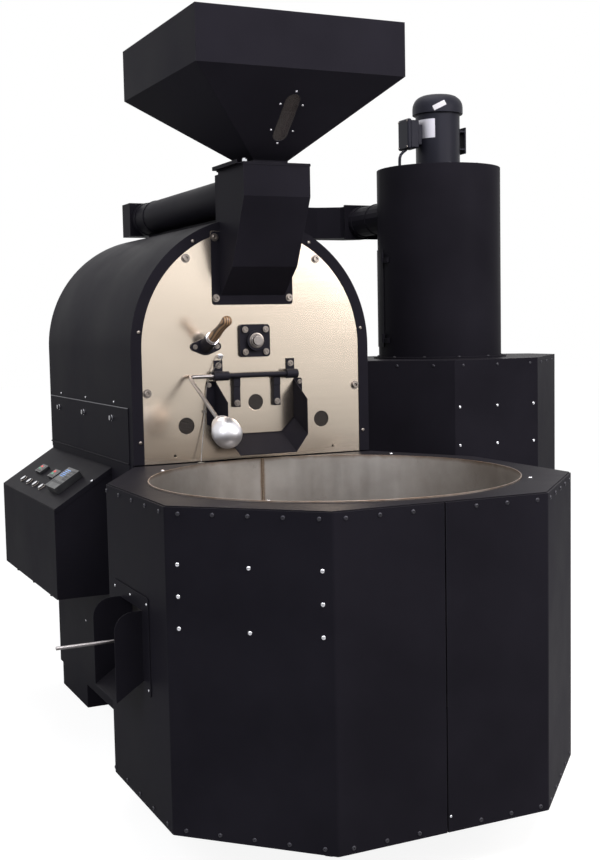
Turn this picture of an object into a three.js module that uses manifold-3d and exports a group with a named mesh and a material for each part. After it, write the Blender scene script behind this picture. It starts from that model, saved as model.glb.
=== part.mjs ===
// A drum coffee roaster with its cooling bin, feed hopper, control console and chaff cyclone.
// Millimetres, +Z up. While it is assembled, X = 0 is the roaster's centre plane, Y = 0 is the
// plane of its stainless face, with -Y towards the cooling bin, and Z = 0 is the floor.
import * as THREE from "three";
import { mergeVertices } from "three/addons/utils/BufferGeometryUtils.js";
import Module from "manifold-3d";

// Clearances and cutting allowances
const seat_gap = 0.3;
const running_gap = 0.4;
const overrun = 2;
const sheet = 3;

// Number of sides on round pieces
const large_sides = 40;
const barrel_sides = 24;
const pipe_sides = 20;
const rod_sides = 12;
const small_sides = 8;
const half_round_steps = 6;
const corner_steps = 3;
const arch_steps = 22;

// Roaster housing
const housing_half = 503;
const housing_bottom = 1154;
const drum_side_room = 143;
const drum_radius = housing_half - drum_side_room;
const drum_foot_room = 100;
const axis_height = housing_bottom + drum_foot_room + drum_radius;
const arch_drop = 27;
const housing_arch_height = axis_height - arch_drop;
const roof_height = housing_arch_height + housing_half;
const housing_depth = 1260;
const housing_flange = 25;
const rim_width = 43;
const face_thickness = 10;
const roof_port_width = 140;
const roof_port_front = 40;
const roof_port_rear = 140;

// Drum, shaft and drive
const drum_wall = 8;
const drum_front = 30;
const drum_rear_room = 70;
const drum_rear = housing_depth - drum_rear_room;
const drum_lip_share = 0.1528;
const drum_lip = drum_lip_share * drum_radius;
const drum_spider_inset = 20;
const drum_spider_rear = drum_rear - drum_spider_inset;
const drum_spider_span = 750;
const drum_spider_front = drum_spider_rear - drum_spider_span;
const drum_spoke_count = 4;
const drum_spoke_width = 45;
const drum_spoke_thickness = 10;
const drum_hub_radius = 40;
const drum_hub_length = 60;
const drum_vane_count = 6;
const drum_vane_share = 0.0972;
const drum_vane_height = drum_vane_share * drum_radius;
const drum_vane_thickness = 4;
const shaft_radius = 19;
const shaft_front_reach = 46;
const shaft_rear_stand = 140;
const shaft_rear_reach = housing_depth + shaft_rear_stand;
const bearing_width = 127;
const bearing_corner = 14;
const bearing_flange = 14;
const bearing_boss_radius = 39;
const bearing_boss_stand = 16;
const bearing_bolt_radius = 8;
const bearing_bolt_stand = 6;
const bearing_bolt_inset = 20;
const gearmotor_width = 180;
const gearmotor_height = 230;
const gearmotor_length = 90;
const gearmotor_motor_radius = 75;
const gearmotor_motor_length = 210;

// Base cabinet under the roaster
const base_bottom = 105;
const base_front = 10;
const base_rear_inset = 10;
const base_depth = housing_depth - base_front - base_rear_inset;
const base_skirt = 4;
const base_plinth_inset = 43;
const base_plinth_length = 422;
const base_plinth_rear = base_front + base_depth - base_plinth_inset;
const base_plinth_front = base_plinth_rear - base_plinth_length;
const base_leg = 50;
const base_leg_inset = 40;

// Cooling bin cabinet
const leg_height = 150;
const bin_radius = 634;
const bin_side_margin = 103.5;
const bin_front_margin = 87;
const bin_rear_margin = 45;
const bin_width = 2 * (bin_radius + bin_side_margin);
const bin_centre_reach = bin_rear_margin + bin_radius;
const bin_front_reach = bin_centre_reach + bin_radius + bin_front_margin;
const bin_front_flat = 735;
const bin_side_rear = 430;
const bin_rear_lap = 5;
const bin_rear_width = 2 * (housing_half + bin_rear_lap);
const bin_rear_clearance = 8;
const bin_housing_gap = 7;
const bin_panel_height = housing_bottom - bin_housing_gap - leg_height;
const bin_flange = 22;
const bin_seam = 4;
const bin_plate_inset = 6;
const bin_wall_thickness = 4;
const bin_rim_stand = 5;
const bin_depth = 515;
const bin_plenum_depth = 127;
const bin_ledge_width = 12;
const bin_ledge_thickness = 5;
const bin_deck_thickness = 5;
const bin_deck_hole_radius = 380;
const bin_post = 50;
const bin_post_count = 6;
const bin_post_circle_radius = 430;
const front_screw_radius = 7;
const front_screw_stand = 4;
const front_screw_count = 3;
const front_screw_first = 108;
const front_screw_edge = 40.5;
const front_screw_drop = 18;
const front_screw_low_shift = 9;
const seam_screw_offset = 10;
const seam_screw_rise = 49;
const foot_pad_radius = 40;
const foot_pad_thickness = 10;

// Stirrer of the cooling bin
const gearbox_width = 150;
const gearbox_headroom = 21;
const gearbox_height = bin_plenum_depth - gearbox_headroom;
const gearbox_hub_radius = 42;
const gearbox_hub_stand = 10;
const stirrer_motor_radius = 70;
const stirrer_motor_drop = 200;
const stirrer_motor_clearance = 5;
const stirrer_column_radius = 25;
const stirrer_column_height = 130;
const stirrer_arm_count = 3;
const stirrer_arm_width = 30;
const stirrer_arm_thickness = 12;
const stirrer_arm_rise = 60;
const stirrer_blade_thickness = 4;
const stirrer_blade_inner = 80;
const stirrer_tip_clearance = 12;
const stirrer_floor_clearance = 5;

// Unloading chute and its gate, on the left side of the bin
const bin_panel_top = leg_height + bin_panel_height;
const chute_plate_width = 365;
const chute_top_drop = 357;
const chute_top = bin_panel_top - chute_top_drop;
const chute_plate_rise = 50;
const chute_plate_tall = 315;
const chute_plate_top = chute_top + chute_plate_rise;
const chute_plate_bottom = chute_plate_top - chute_plate_tall;
const chute_plate_corner = 12;
const chute_width = 241;
const chute_reach = 95;
const chute_corner = 60;
const chute_tall = 223;
const chute_panel_floor = chute_top - chute_tall;
const chute_fall = 63;
const chute_outer_floor = chute_panel_floor - chute_fall;
const gate_side_clearance = 1.5;
const gate_floor_clearance = 3;
const gate_inset = 40;
const gate_barrel_radius = 5;
const gate_pin_radius = 3;
const gate_pin_stand = 1.5;
const gate_rod_radius = 6;
const gate_rod_drop = 117;
const gate_rod_height = chute_top - gate_rod_drop;
const gate_rod_reach = 250;

// Burners under the drum
const burner_count = 5;
const burner_radius = 16;
const burner_pitch = 110;
const burner_drop = 54;
const burner_height = axis_height - drum_radius - burner_drop;
const burner_front = 70;
const burner_rear_inset = 10;
const burner_rear = drum_rear - burner_rear_inset;
const burner_manifold = 40;
const burner_foot = 30;

// Burner access door on the left side
const side_door_front = 45;
const side_door_rear_inset = 17;
const side_door_rear = housing_depth - side_door_rear_inset;
const side_door_rise = 215;
const side_door_top = housing_bottom + side_door_rise;
const side_door_overlap = 22;
const side_hinge_rise = 1;
const side_hinge_height = housing_bottom + side_hinge_rise;
const side_hinge_radius = 4;
const side_hinge_stand = 4.5;
const side_hinge_pin_radius = 1.7;
const side_hinge_pieces = 13;
const side_hinge_piece_gap = 1;
const side_hinge_leaf = 20;
const side_bolt_drop = 49;
const side_bolt_height = side_door_top - side_bolt_drop;
const side_bolt_radius = 9;
const side_bolt_stand = 10;
const side_bolt_front = 213;
const side_bolt_rear = 157;
const side_bolt_count = 3;
const side_bolt_first = side_door_front + side_bolt_front;
const side_bolt_pitch = (side_door_rear - side_bolt_rear - side_bolt_first) / (side_bolt_count - 1);

// Sight glasses, discharge opening, door and lever
const door_axis_drop = 133;
const door_axis_height = axis_height - door_axis_drop;
const door_axis_reach = 30;
const door_half = 164;
const door_top_drop = 15;
const door_top = door_axis_height - door_top_drop;
const door_rise_share = 0.3173;
const door_bottom = housing_bottom + door_rise_share * (door_top - housing_bottom);
const door_corner = 56;
const door_thickness = 6;
const door_overlap = 16;
const door_glass_rise_share = 0.56338;
const door_glass_height = door_bottom + door_glass_rise_share * (door_top - door_bottom);
const door_glass_radius = 31;
const sight_offset = 288;
const sight_rise = 40;
const sight_height = door_bottom + sight_rise;
const sight_radius = 32;
const glass_thickness = 5;
const vent_offset = 337;
const vent_rise = 26;
const vent_height = housing_bottom + vent_rise;
const vent_radius = 5;
const door_shaft_radius = 10;
const bracket_offset = 153;
const door_shaft_left_stand = 27;
const door_shaft_left = bracket_offset + door_shaft_left_stand;
const door_shaft_right_stand = 14;
const door_shaft_right = bracket_offset + door_shaft_right_stand;
const door_arm_gap = 68;
const door_arm_offset = bracket_offset - door_arm_gap;
const door_arm_width = 28;
const door_arm_reach = 24;
const door_arm_drop = 123;
const door_arm_bottom = door_axis_height - door_arm_drop;
const bracket_plate_width = 34;
const bracket_plate_rise = 60;
const bracket_plate_top = door_axis_height + bracket_plate_rise;
const bracket_plate_thickness = 6;
const bracket_boss_radius = 18;
const bracket_boss_half = 31;
const bracket_boss_short = 17;
const bracket_boss_left = [-bracket_offset - bracket_boss_half, bracket_boss_half - bracket_offset];
const bracket_boss_right = [bracket_offset - bracket_boss_half, bracket_offset + bracket_boss_short];
const lever_rod_radius = 7.5;
const lever_bend_stand = 129;
const lever_bend_offset = bracket_offset + lever_bend_stand;
const lever_fall_degrees = 26.5;
const knob_centre_distance = 410;
const knob_radius = 53;
const knob_neck_radius = 33;
const knob_length = 130;
const knob_rod_depth = 20;
const knob_cone_share = 0.7;

// Discharge chute under the door
const spout_side_margin = 4;
const spout_half = door_half + spout_side_margin;
const spout_reach = 127;
const spout_lip = 4;
const spout_top_fall = 78;
const spout_floor_fall = 70;
const spout_face_top = door_top - spout_lip;
const spout_outer_top = spout_face_top - spout_top_fall;
const spout_face_floor = door_bottom - spout_lip;
const spout_outer_floor = spout_face_floor - spout_floor_fall;
const spout_face_corner = door_corner;
const spout_outer_corner_across = 50;
const spout_outer_corner_up = 68;
const spout_ear_width = 36;
const spout_ear_rise = 41;
const spout_ear_bottom = spout_face_floor + spout_ear_rise;

// Place of the temperature probe
const probe_setback = 8;
const probe_offset = bracket_offset - probe_setback;
const probe_rise = 16;
const probe_height = bracket_plate_top + probe_rise;

// Bean sampler and its guide
const trier_offset = 202;
const trier_rise = 38;
const trier_height = probe_height + trier_rise;
const trier_tilt_degrees = 23;
const trier_lobe_offset = 46;
const trier_lobe_radius = 16;
const trier_flange_radius = 33;
const trier_flange_thickness = 8;
const trier_boss_radius = 27;
const trier_boss_length = 75;
const trier_tube_radius = 14;
const trier_tube_wall = 2;
const trier_depth_share = 0.6389;
const trier_tube_depth = trier_depth_share * drum_radius;
const trier_scoop_start = 40;
const trier_collar_radius = 25;
const trier_collar_thickness = 6;
const trier_handle_length = 183;
const trier_handle_radius = 20;
const trier_waist_radius = 16.5;
const trier_waist_share = 1.35;

// Temperature probe and its lead
const probe_nut_radius = 11;
const probe_nut_length = 10;
const probe_body_radius = 6;
const probe_body_length = 14;
const probe_depth = 120;
const probe_tip_radius = 3;
const lead_radius = 2;
const lead_sides = 8;
const lead_steps = 46;
const lead_bracket_run = bracket_boss_half + probe_setback;
const lead_bracket_drop = probe_height - door_axis_height;
const lead_bracket_shares = [
  [0.025641, 1.100000, 0.013158],
  [0.153846, 1.300000, 0.118421],
  [0.435897, 1.133333, 0.355263],
  [0.923077, 0.566667, 0.710526],
  [1.205128, 0.333333, 1.039474],
];
const lead_clip_gap = 11;
const lead_clip_x = -spout_half - spout_ear_width - lead_clip_gap;
const lead_clip_share = 0.481;
const lead_upper_way = [
  [11, -7],
  [6, -6],
];
const lead_upper_shares = [0.712, 0.602];
const lead_lower_way = [
  [-6, -12],
  [-18, -24],
  [-29, -37],
];
const lead_lower_shares = [0.368, 0.211, 0.073];
const lead_foot_way = [-34, -45];
const lead_clip_width = 14;
const lead_clip_height = 10;
const lead_clip_depth = 12;
const grommet_radius = 13;
const grommet_thickness = 3;

// Feed chute, slide gate and hopper
const feed_half = 134.5;
const feed_reach = 256;
const feed_lower_reach = 127;
const feed_plate_half = 170;
const feed_plate_rise = 140;
const feed_plate_bottom = axis_height + feed_plate_rise;
const feed_plate_drop = 56;
const feed_plate_top = roof_height - feed_plate_drop;
const feed_foot_rise = 33;
const feed_bottom = feed_plate_bottom + feed_foot_rise;
const feed_opening_drop = 84;
const feed_opening_top = feed_plate_top - feed_opening_drop;
const feed_lower_rise = 108;
const feed_lower_bend = feed_bottom + feed_lower_rise;
const feed_roof_stand = 172;
const feed_top = roof_height + feed_roof_stand;
const feed_upper_tall = 116;
const feed_upper_bend = feed_top - feed_upper_tall;
const feed_plate_corner = 12;
const feed_rim_clearance = 3;
const feed_flange = 2;
const feed_rear_flange = 10;
const gate_plate_stand = 21.5;
const gate_plate_left = feed_half + feed_flange + gate_plate_stand;
const gate_plate_setback = 2.5;
const gate_plate_right = feed_half - gate_plate_setback;
const gate_lip_height = 14;
const gate_slide_clearance = 0.6;
const gate_guide_width = 9;
const hopper_half = 403;
const hopper_centre_reach = 105;
const hopper_neck_rise = 21;
const hopper_neck = feed_top + hopper_neck_rise;
const hopper_cone_tall = 275;
const hopper_bend = hopper_neck + hopper_cone_tall;
const hopper_bowl_tall = 192;
const hopper_top = hopper_bend + hopper_bowl_tall;
const hopper_outlet_half = 70;
const hopper_outlet_reach = 130;
const hopper_lip = 16;
const window_length = 210;
const window_width = 57;
const window_margin = 0.5;
const window_rise_share = 0.48;

// Exhaust ducts
const pipe_radius = 75;
const duct_rise = 97;
const duct_height = roof_height + duct_rise;
const duct_top_room = 3;
const duct_tall = 2 * (pipe_radius + duct_top_room);
const duct_side_room = 13;
const duct_half = pipe_radius + duct_side_room;
const duct_wall = 2.5;
const riser_front = 20;
const riser_rear = 150;
const pipe_wall = 2;
const collar_stand = 4;
const collar_length = 40;
const saddle_thickness = 4;
const cyclone_side_reach = 817;
const cyclone_x = housing_half + cyclone_side_reach;
const elbow_offset = 205;
const elbow_centre = cyclone_x - elbow_offset;
const elbow_lead = 210;
const rear_duct_straight = elbow_centre - elbow_lead;
const rear_duct_gap = 8;
const rear_duct_line = housing_depth + rear_duct_gap;
const rear_duct_front = rear_duct_line + seat_gap;
const rear_duct_depth = 117;
const rear_duct_rear = rear_duct_line + rear_duct_depth;
const elbow_first_way = [-100, -46];
const elbow_flange_way = -84;
const elbow_flange_front = rear_duct_line + elbow_flange_way;
const elbow_bend_way = [72, 72];
const elbow_start_way = 5;
const elbow_end_way = 2;
const cyclone_way = -503;
const cyclone_y = rear_duct_line + cyclone_way;
const duct_flange_stand = 8;
const duct_flange_thickness = 6;

// Cyclone, its clean-out door and its blower
const cyclone_radius = 299;
const cyclone_inlet_rise = 688;
const chaff_top = duct_height - cyclone_inlet_rise;
const cyclone_bottom = chaff_top + seat_gap;
const cyclone_top_stand = 221;
const cyclone_top = duct_height + cyclone_top_stand;
const cyclone_foot_width = 26;
const cyclone_foot_thickness = 8;
const cyclone_floor_hole_radius = 120;
const cyclone_door_rise = 57;
const cyclone_door_bottom = chaff_top + cyclone_door_rise;
const cyclone_door_drop = 161;
const cyclone_door_top = duct_height - cyclone_door_drop;
const cyclone_door_start_degrees = 176;
const cyclone_door_span_degrees = 56;
const cyclone_door_overlap_degrees = 3;
const cyclone_hinge_radius = 7;
const cyclone_hinge_length = 46;
const cyclone_hinge_inset = 43;
const cyclone_hinge_turn_degrees = 1.5;
const cyclone_hinge_leaf_degrees = 8;
const cyclone_hinge_pin_radius = 3;
const latch_width = 26;
const latch_height = 60;
const latch_stand = 14;
const blower_shaft_radius = 12;
const blower_wheel_radius = 150;
const blower_wheel_drop = 25;
const blower_wheel_height = 65;
const blower_blade_count = 8;
const blower_disc_thickness = 4;
const motor_radius = 107;
const motor_length = 262;
const motor_flange_radius = 112;
const motor_flange_thickness = 12;
const motor_cover_radius = 122;
const motor_cover_length = 91;
const motor_cover_crown_radius = 62;
const motor_foot_gap = 23;
const motor_foot_reach = motor_radius + motor_foot_gap;
const motor_foot_half = 52;
const motor_foot_rise = 78;
const motor_foot_bottom = cyclone_top + motor_foot_rise;
const motor_foot_tall = 125;
const motor_foot_top = motor_foot_bottom + motor_foot_tall;
const motor_foot_thickness = 8;
const terminal_gap = 25;
const terminal_inner = motor_foot_reach + terminal_gap;
const terminal_depth = 39;
const terminal_reach = terminal_inner + terminal_depth;
const terminal_half = 50;
const terminal_neck_half = 34;
const terminal_rise = 89;
const terminal_bottom = cyclone_top + terminal_rise;
const terminal_tall = 144;
const terminal_top = terminal_bottom + terminal_tall;
const terminal_corner = 12;
const conduit_radius = 7;
const conduit_seat = 14;
const conduit_inner_reach = terminal_inner + conduit_seat;
const conduit_stand = 20;
const conduit_outer_reach = terminal_reach + conduit_stand;

// Chaff cabinet
const chaff_half_depth = 495;
const chaff_front = cyclone_y - chaff_half_depth;
const chaff_rear = cyclone_y + chaff_half_depth;
const chaff_width = 1222;
const chaff_chamfer = 385;
const chaff_front_flat = chaff_width - 2 * chaff_chamfer;
const chaff_post = 50;
const chaff_post_inset = 60;

// Console
const console_reach = 237;
const console_outer = housing_half + console_reach;
const console_rear_inset = 10;
const console_length = 953;
const console_rear = housing_depth - console_rear_inset;
const console_front = console_rear - console_length;
const console_drop = 34;
const console_fall = 151;
const console_side_tall = 362;
const console_inner_top = housing_bottom - console_drop;
const console_outer_top = console_inner_top - console_fall;
const console_bottom = console_outer_top - console_side_tall;
const console_cover_lip = 14;
const console_cover_stand = 3.6;
const console_port_radius = 40;
const gland_radius = 10;
const gland_stand = 14;
const gland_inset = 18;
const gland_front = 153;
const gland_first = console_front + gland_front;
const gland_pitch = 305;
const switch_front = 427;
const switch_first = console_front + switch_front;
const switch_pitch = 111;
const switch_down = 216;
const switch_head_radius = 14;
const switch_head_thickness = 6;
const switch_stem_radius = 10;
const switch_stand = 4;
const switch_stem_depth = 14;
const controller_front = 455;
const controller_first = console_front + controller_front;
const controller_pitch = 228;
const controller_down = 135;
const controller_long = 96;
const controller_short = 48;
const controller_stand = 12;
const keypad_front = 228;
const keypad_centre = console_front + keypad_front;
const keypad_down = 152;
const keypad_long = 160;
const keypad_short = 125;
const keypad_stand = 30;

// Colours, roughness and metalness
const black_coat = { color: 0x1d1c1f, roughness: 0.55, metalness: 0.1 };
const black_cast = { color: 0x141416, roughness: 0.6, metalness: 0.2 };
const brushed_steel = { color: 0xc9c0b2, roughness: 0.28, metalness: 1 };
const raw_steel = { color: 0xa8a4a0, roughness: 0.42, metalness: 1 };
const zinc_steel = { color: 0xb9b9bd, roughness: 0.35, metalness: 1 };
const aluminium = { color: 0xc4c2c6, roughness: 0.38, metalness: 1 };
const dark_glass = { color: 0x15130f, roughness: 0.08, metalness: 0 };
const wood = { color: 0x5a4636, roughness: 0.5, metalness: 0 };
const cable_grey = { color: 0x8d8a86, roughness: 0.45, metalness: 0.4 };
const panel_plastic = { color: 0x17171a, roughness: 0.45, metalness: 0 };

const half_turn = Math.PI;
const quarter_turn = Math.PI / 2;
const full_turn = 2 * Math.PI;
const radians = (degrees) => THREE.MathUtils.degToRad(degrees);
const at = (x, y, z) => new THREE.Vector3(x, y, z);
const along_x = new THREE.Matrix4().makeBasis(at(0, 1, 0), at(0, 0, 1), at(1, 0, 0));
const along_y = new THREE.Matrix4().makeBasis(at(1, 0, 0), at(0, 0, 1), at(0, -1, 0));

const wasm = await Module();
wasm.setup();

// A closed three.js geometry as a solid that can be joined and cut
function solid(geometry) {
  const bare = geometry.index ? geometry.toNonIndexed() : geometry.clone();
  bare.deleteAttribute("normal");
  bare.deleteAttribute("uv");
  const merged = mergeVertices(bare);
  const triVerts = new Uint32Array(merged.index.array);
  const vertProperties = merged.attributes.position.array;
  return new wasm.Manifold(new wasm.Mesh({ numProp: 3, vertProperties, triVerts }));
}

// A solid back as a three.js geometry
function geometryOf(shape) {
  const { vertProperties, triVerts, numProp } = shape.getMesh();
  const position = new Float32Array((vertProperties.length / numProp) * 3);
  for (let i = 0; i < position.length / 3; i++) {
    for (let k = 0; k < 3; k++) position[3 * i + k] = vertProperties[numProp * i + k];
  }
  const geometry = new THREE.BufferGeometry();
  geometry.setAttribute("position", new THREE.BufferAttribute(position, 3));
  geometry.setIndex(new THREE.BufferAttribute(new Uint32Array(triVerts), 1));
  const faceted = geometry.toNonIndexed();
  faceted.computeVertexNormals();
  return faceted;
}

const join = (...shapes) => shapes.reduce((all, next) => all.add(next));
const cut = (shape, ...tools) => tools.reduce((rest, tool) => rest.subtract(tool), shape);

// A block between two corners
function block(x0, x1, y0, y1, z0, z1) {
  const geometry = new THREE.BoxGeometry(x1 - x0, y1 - y0, z1 - z0);
  geometry.translate((x0 + x1) / 2, (y0 + y1) / 2, (z0 + z1) / 2);
  return solid(geometry);
}

// A flat outline, given as points or as a shape, run straight along one axis
function extruded(outline, length, sides) {
  const points = (list) => list.map(([u, v]) => new THREE.Vector2(u, v));
  const shape = outline instanceof THREE.Shape ? outline : new THREE.Shape(points(outline));
  return new THREE.ExtrudeGeometry(shape, { depth: length, bevelEnabled: false, curveSegments: sides });
}
const prismX = (outline, x0, x1, sides = corner_steps) =>
  solid(extruded(outline, x1 - x0, sides).applyMatrix4(along_x).translate(x0, 0, 0));
const prismY = (outline, y0, y1, sides = corner_steps) =>
  solid(extruded(outline, y1 - y0, sides).applyMatrix4(along_y).translate(0, y1, 0));
const prismZ = (outline, z0, z1, sides = corner_steps) =>
  solid(extruded(outline, z1 - z0, sides).translate(0, 0, z0));

// A round bar from one point to another, and one whose flats clear a bar of the given radius
function bar(radius, from, to, sides = rod_sides) {
  const way = to.clone().sub(from);
  const geometry = new THREE.CylinderGeometry(radius, radius, way.length(), sides);
  geometry.applyQuaternion(new THREE.Quaternion().setFromUnitVectors(at(0, 1, 0), way.normalize()));
  const middle = from.clone().add(to).multiplyScalar(1 / 2);
  return solid(geometry.translate(middle.x, middle.y, middle.z));
}
const bore = (radius, from, to, sides = rod_sides) =>
  bar(radius / Math.cos(half_turn / sides), from, to, sides);
const barX = (radius, x0, x1, y, z, sides = rod_sides) => bar(radius, at(x0, y, z), at(x1, y, z), sides);
const barY = (radius, y0, y1, x, z, sides = rod_sides) => bar(radius, at(x, y0, z), at(x, y1, z), sides);
const barZ = (radius, z0, z1, x, y, sides = rod_sides) => bar(radius, at(x, y, z0), at(x, y, z1), sides);

// A profile of radius and height turned about an upright line
function turned(profile, x, y, sides = barrel_sides) {
  const points = profile.map(([radius, height]) => new THREE.Vector2(radius, height));
  return solid(new THREE.LatheGeometry(points, sides).rotateX(quarter_turn).translate(x, y, 0));
}

// An upright plug whose facets line up with those of a turned piece of as many sides
const plug = (radius, z0, z1, x, y, sides) => turned(
  [[0, z0], [radius, z0], [radius, z1], [0, z1]],
  x,
  y,
  sides,
);

// A closed skin between two rings of matching points
function loft(low, high) {
  const positions = [];
  const face = (a, b, c) => positions.push(...a.toArray(), ...b.toArray(), ...c.toArray());
  low.forEach((corner, i) => {
    const j = (i + 1) % low.length;
    face(corner, low[j], high[j]);
    face(corner, high[j], high[i]);
  });
  for (let i = 1; i + 1 < low.length; i++) {
    face(low[0], low[i + 1], low[i]);
    face(high[0], high[i], high[i + 1]);
  }
  const geometry = new THREE.BufferGeometry();
  geometry.setAttribute("position", new THREE.BufferAttribute(new Float32Array(positions), 3));
  return solid(geometry);
}

// A rectangle of half widths about a centre, at one height
function rectangle(x, y, halfX, halfY, z) {
  const corners = [[-1, -1], [1, -1], [1, 1], [-1, 1]];
  return corners.map(([i, j]) => at(x + i * halfX, y + j * halfY, z));
}

// A rectangle with round corners
function roundedRectangle(u0, u1, v0, v1, radius) {
  const shape = new THREE.Shape();
  shape.absarc(u1 - radius, v0 + radius, radius, -quarter_turn, 0, false);
  shape.absarc(u1 - radius, v1 - radius, radius, 0, quarter_turn, false);
  shape.absarc(u0 + radius, v1 - radius, radius, quarter_turn, half_turn, false);
  shape.absarc(u0 + radius, v0 + radius, radius, half_turn, half_turn + quarter_turn, false);
  return shape;
}

// An outline moved inwards by a distance along each edge's normal, its points in anticlockwise order
function inset(points, distance) {
  const edges = points.map(([x, y], i) => {
    const [nx, ny] = points[(i + 1) % points.length];
    const length = Math.hypot(nx - x, ny - y);
    const normal = [-(ny - y) / length, (nx - x) / length];
    return { normal, reach: normal[0] * x + normal[1] * y + distance };
  });
  return points.map((_, i) => {
    const a = edges[(i + points.length - 1) % points.length];
    const b = edges[i];
    const across = a.normal[0] * b.normal[1] - a.normal[1] * b.normal[0];
    return [
      (a.reach * b.normal[1] - b.reach * a.normal[1]) / across,
      (b.reach * a.normal[0] - a.reach * b.normal[0]) / across,
    ];
  });
}

const roaster = new THREE.Group();
const machine = new THREE.Group();
roaster.add(machine);

// Adds one named piece, in its own material
function piece(name, shape, look, parent = machine) {
  const mesh = new THREE.Mesh(geometryOf(shape), new THREE.MeshStandardMaterial(look));
  mesh.name = name;
  parent.add(mesh);
  return mesh;
}

// Cooling bin: an eight-sided cabinet of two folded panels round a stainless wall
const bin_y = -bin_centre_reach;
const bin_plate_bottom = bin_panel_top + seat_gap;
const bin_plate_top = bin_plate_bottom + sheet;
const bin_floor_top = bin_plate_top - bin_depth;
const bin_floor_bottom = bin_floor_top - sheet;
const bin_pan_bottom = bin_floor_top - bin_plenum_depth - bin_wall_thickness;
const bin_pan_top = bin_pan_bottom + bin_wall_thickness;
const bin_outer_radius = bin_radius + bin_wall_thickness;
const bin_chamfer = (bin_width - bin_front_flat) / 2;
const bin_outline = [
  [-bin_front_flat / 2, -bin_front_reach],
  [bin_front_flat / 2, -bin_front_reach],
  [bin_width / 2, bin_chamfer - bin_front_reach],
  [bin_width / 2, -bin_side_rear],
  [bin_rear_width / 2, -bin_rear_clearance],
  [-bin_rear_width / 2, -bin_rear_clearance],
  [-bin_width / 2, -bin_side_rear],
  [-bin_width / 2, bin_chamfer - bin_front_reach],
];
const chute_half = chute_width / 2;
const chute_inner_half = chute_half - sheet;
const chute_slope = (chute_panel_floor - chute_outer_floor) / chute_reach;
const chute_panel_x = -bin_width / 2;
const chute_outer_x = chute_panel_x - chute_reach;

function binPanels() {
  const ring = (z0, z1, width) =>
    cut(prismZ(bin_outline, z0, z1), prismZ(inset(bin_outline, width), z0 - overrun, z1 + overrun));
  const skin = join(
    ring(leg_height, bin_panel_top, sheet),
    ring(leg_height, leg_height + sheet, bin_flange),
    ring(bin_panel_top - sheet, bin_panel_top, bin_flange),
  );
  const half = (x0, x1) => block(x0, x1, -bin_front_reach - overrun, overrun, 0, bin_panel_top + overrun);
  const right_half = half(bin_seam / 2, bin_width);
  const left_half = half(-bin_width, -bin_seam / 2);
  const chute_port = block(
    chute_panel_x - overrun,
    chute_panel_x + bin_flange,
    bin_y - chute_half - seat_gap,
    bin_y + chute_half + seat_gap,
    chute_panel_floor - sheet * 4,
    chute_top + seat_gap,
  );
  // The screws on the front flat, which stand before everything else there
  const screw = (x, z) =>
    barY(
      front_screw_radius,
      -bin_front_reach - front_screw_stand,
      -bin_front_reach + sheet / 2,
      x,
      z,
      small_sides,
    );
  const screw_pitch =
    (bin_front_flat / 2 - front_screw_edge - front_screw_first) / (front_screw_count - 1);
  const screws = { left: [], right: [screw(seam_screw_offset, leg_height + seam_screw_rise)] };
  for (let i = 0; i < front_screw_count; i++) {
    const x = front_screw_first + i * screw_pitch;
    for (const [side, s] of [["left", -1], ["right", 1]]) {
      screws[side].push(screw(s * x + front_screw_low_shift, leg_height + front_screw_drop));
      screws[side].push(screw(s * x, bin_panel_top - front_screw_drop));
    }
  }
  const left_panel = cut(skin.intersect(left_half), chute_port);
  piece("bin_panel_left", join(left_panel, ...screws.left), black_coat);
  piece("bin_panel_right", join(skin.intersect(right_half), ...screws.right), black_coat);
}

function binTopPlate() {
  const plate = prismZ(inset(bin_outline, bin_plate_inset), bin_plate_bottom, bin_plate_top);
  const hole = plug(
    bin_outer_radius + seat_gap,
    bin_plate_bottom - overrun,
    bin_plate_top + overrun,
    0,
    bin_y,
    large_sides,
  );
  const grommet_hole = bore(
    lead_radius + seat_gap,
    at(lead_foot_x, lead_foot_y, bin_plate_bottom - overrun),
    at(lead_foot_x, lead_foot_y, bin_plate_top + overrun),
    lead_sides,
  );
  piece("bin_top_plate", cut(plate, hole, grommet_hole), black_coat);
}

function binWall() {
  const ledge_top = bin_floor_bottom - seat_gap;
  const profile = [
    [stirrer_motor_radius + stirrer_motor_clearance, bin_pan_bottom],
    [bin_outer_radius, bin_pan_bottom],
    [bin_outer_radius, bin_plate_top + bin_rim_stand],
    [bin_radius, bin_plate_top + bin_rim_stand],
    [bin_radius, ledge_top],
    [bin_radius - bin_ledge_width, ledge_top],
    [bin_radius - bin_ledge_width, ledge_top - bin_ledge_thickness],
    [bin_radius, ledge_top - bin_ledge_thickness],
    [bin_radius, bin_pan_top],
    [stirrer_motor_radius + stirrer_motor_clearance, bin_pan_top],
    [stirrer_motor_radius + stirrer_motor_clearance, bin_pan_bottom],
  ];
  const unload_port = block(
    -bin_outer_radius - overrun,
    -bin_radius * Math.cos(Math.asin(chute_half / bin_radius)) + overrun,
    bin_y - chute_inner_half,
    bin_y + chute_inner_half,
    bin_floor_top + sheet,
    chute_top - sheet,
  );
  piece("bin_wall", cut(turned(profile, 0, bin_y, large_sides), unload_port), raw_steel);
  const floor_radius = bin_radius - seat_gap;
  const hub_hole_radius = gearbox_hub_radius + running_gap;
  const screen_profile = [
    [hub_hole_radius, bin_floor_bottom],
    [floor_radius, bin_floor_bottom],
    [floor_radius, bin_floor_top],
    [hub_hole_radius, bin_floor_top],
    [hub_hole_radius, bin_floor_bottom],
  ];
  piece("bin_screen", turned(screen_profile, 0, bin_y, large_sides), raw_steel);
}

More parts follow.
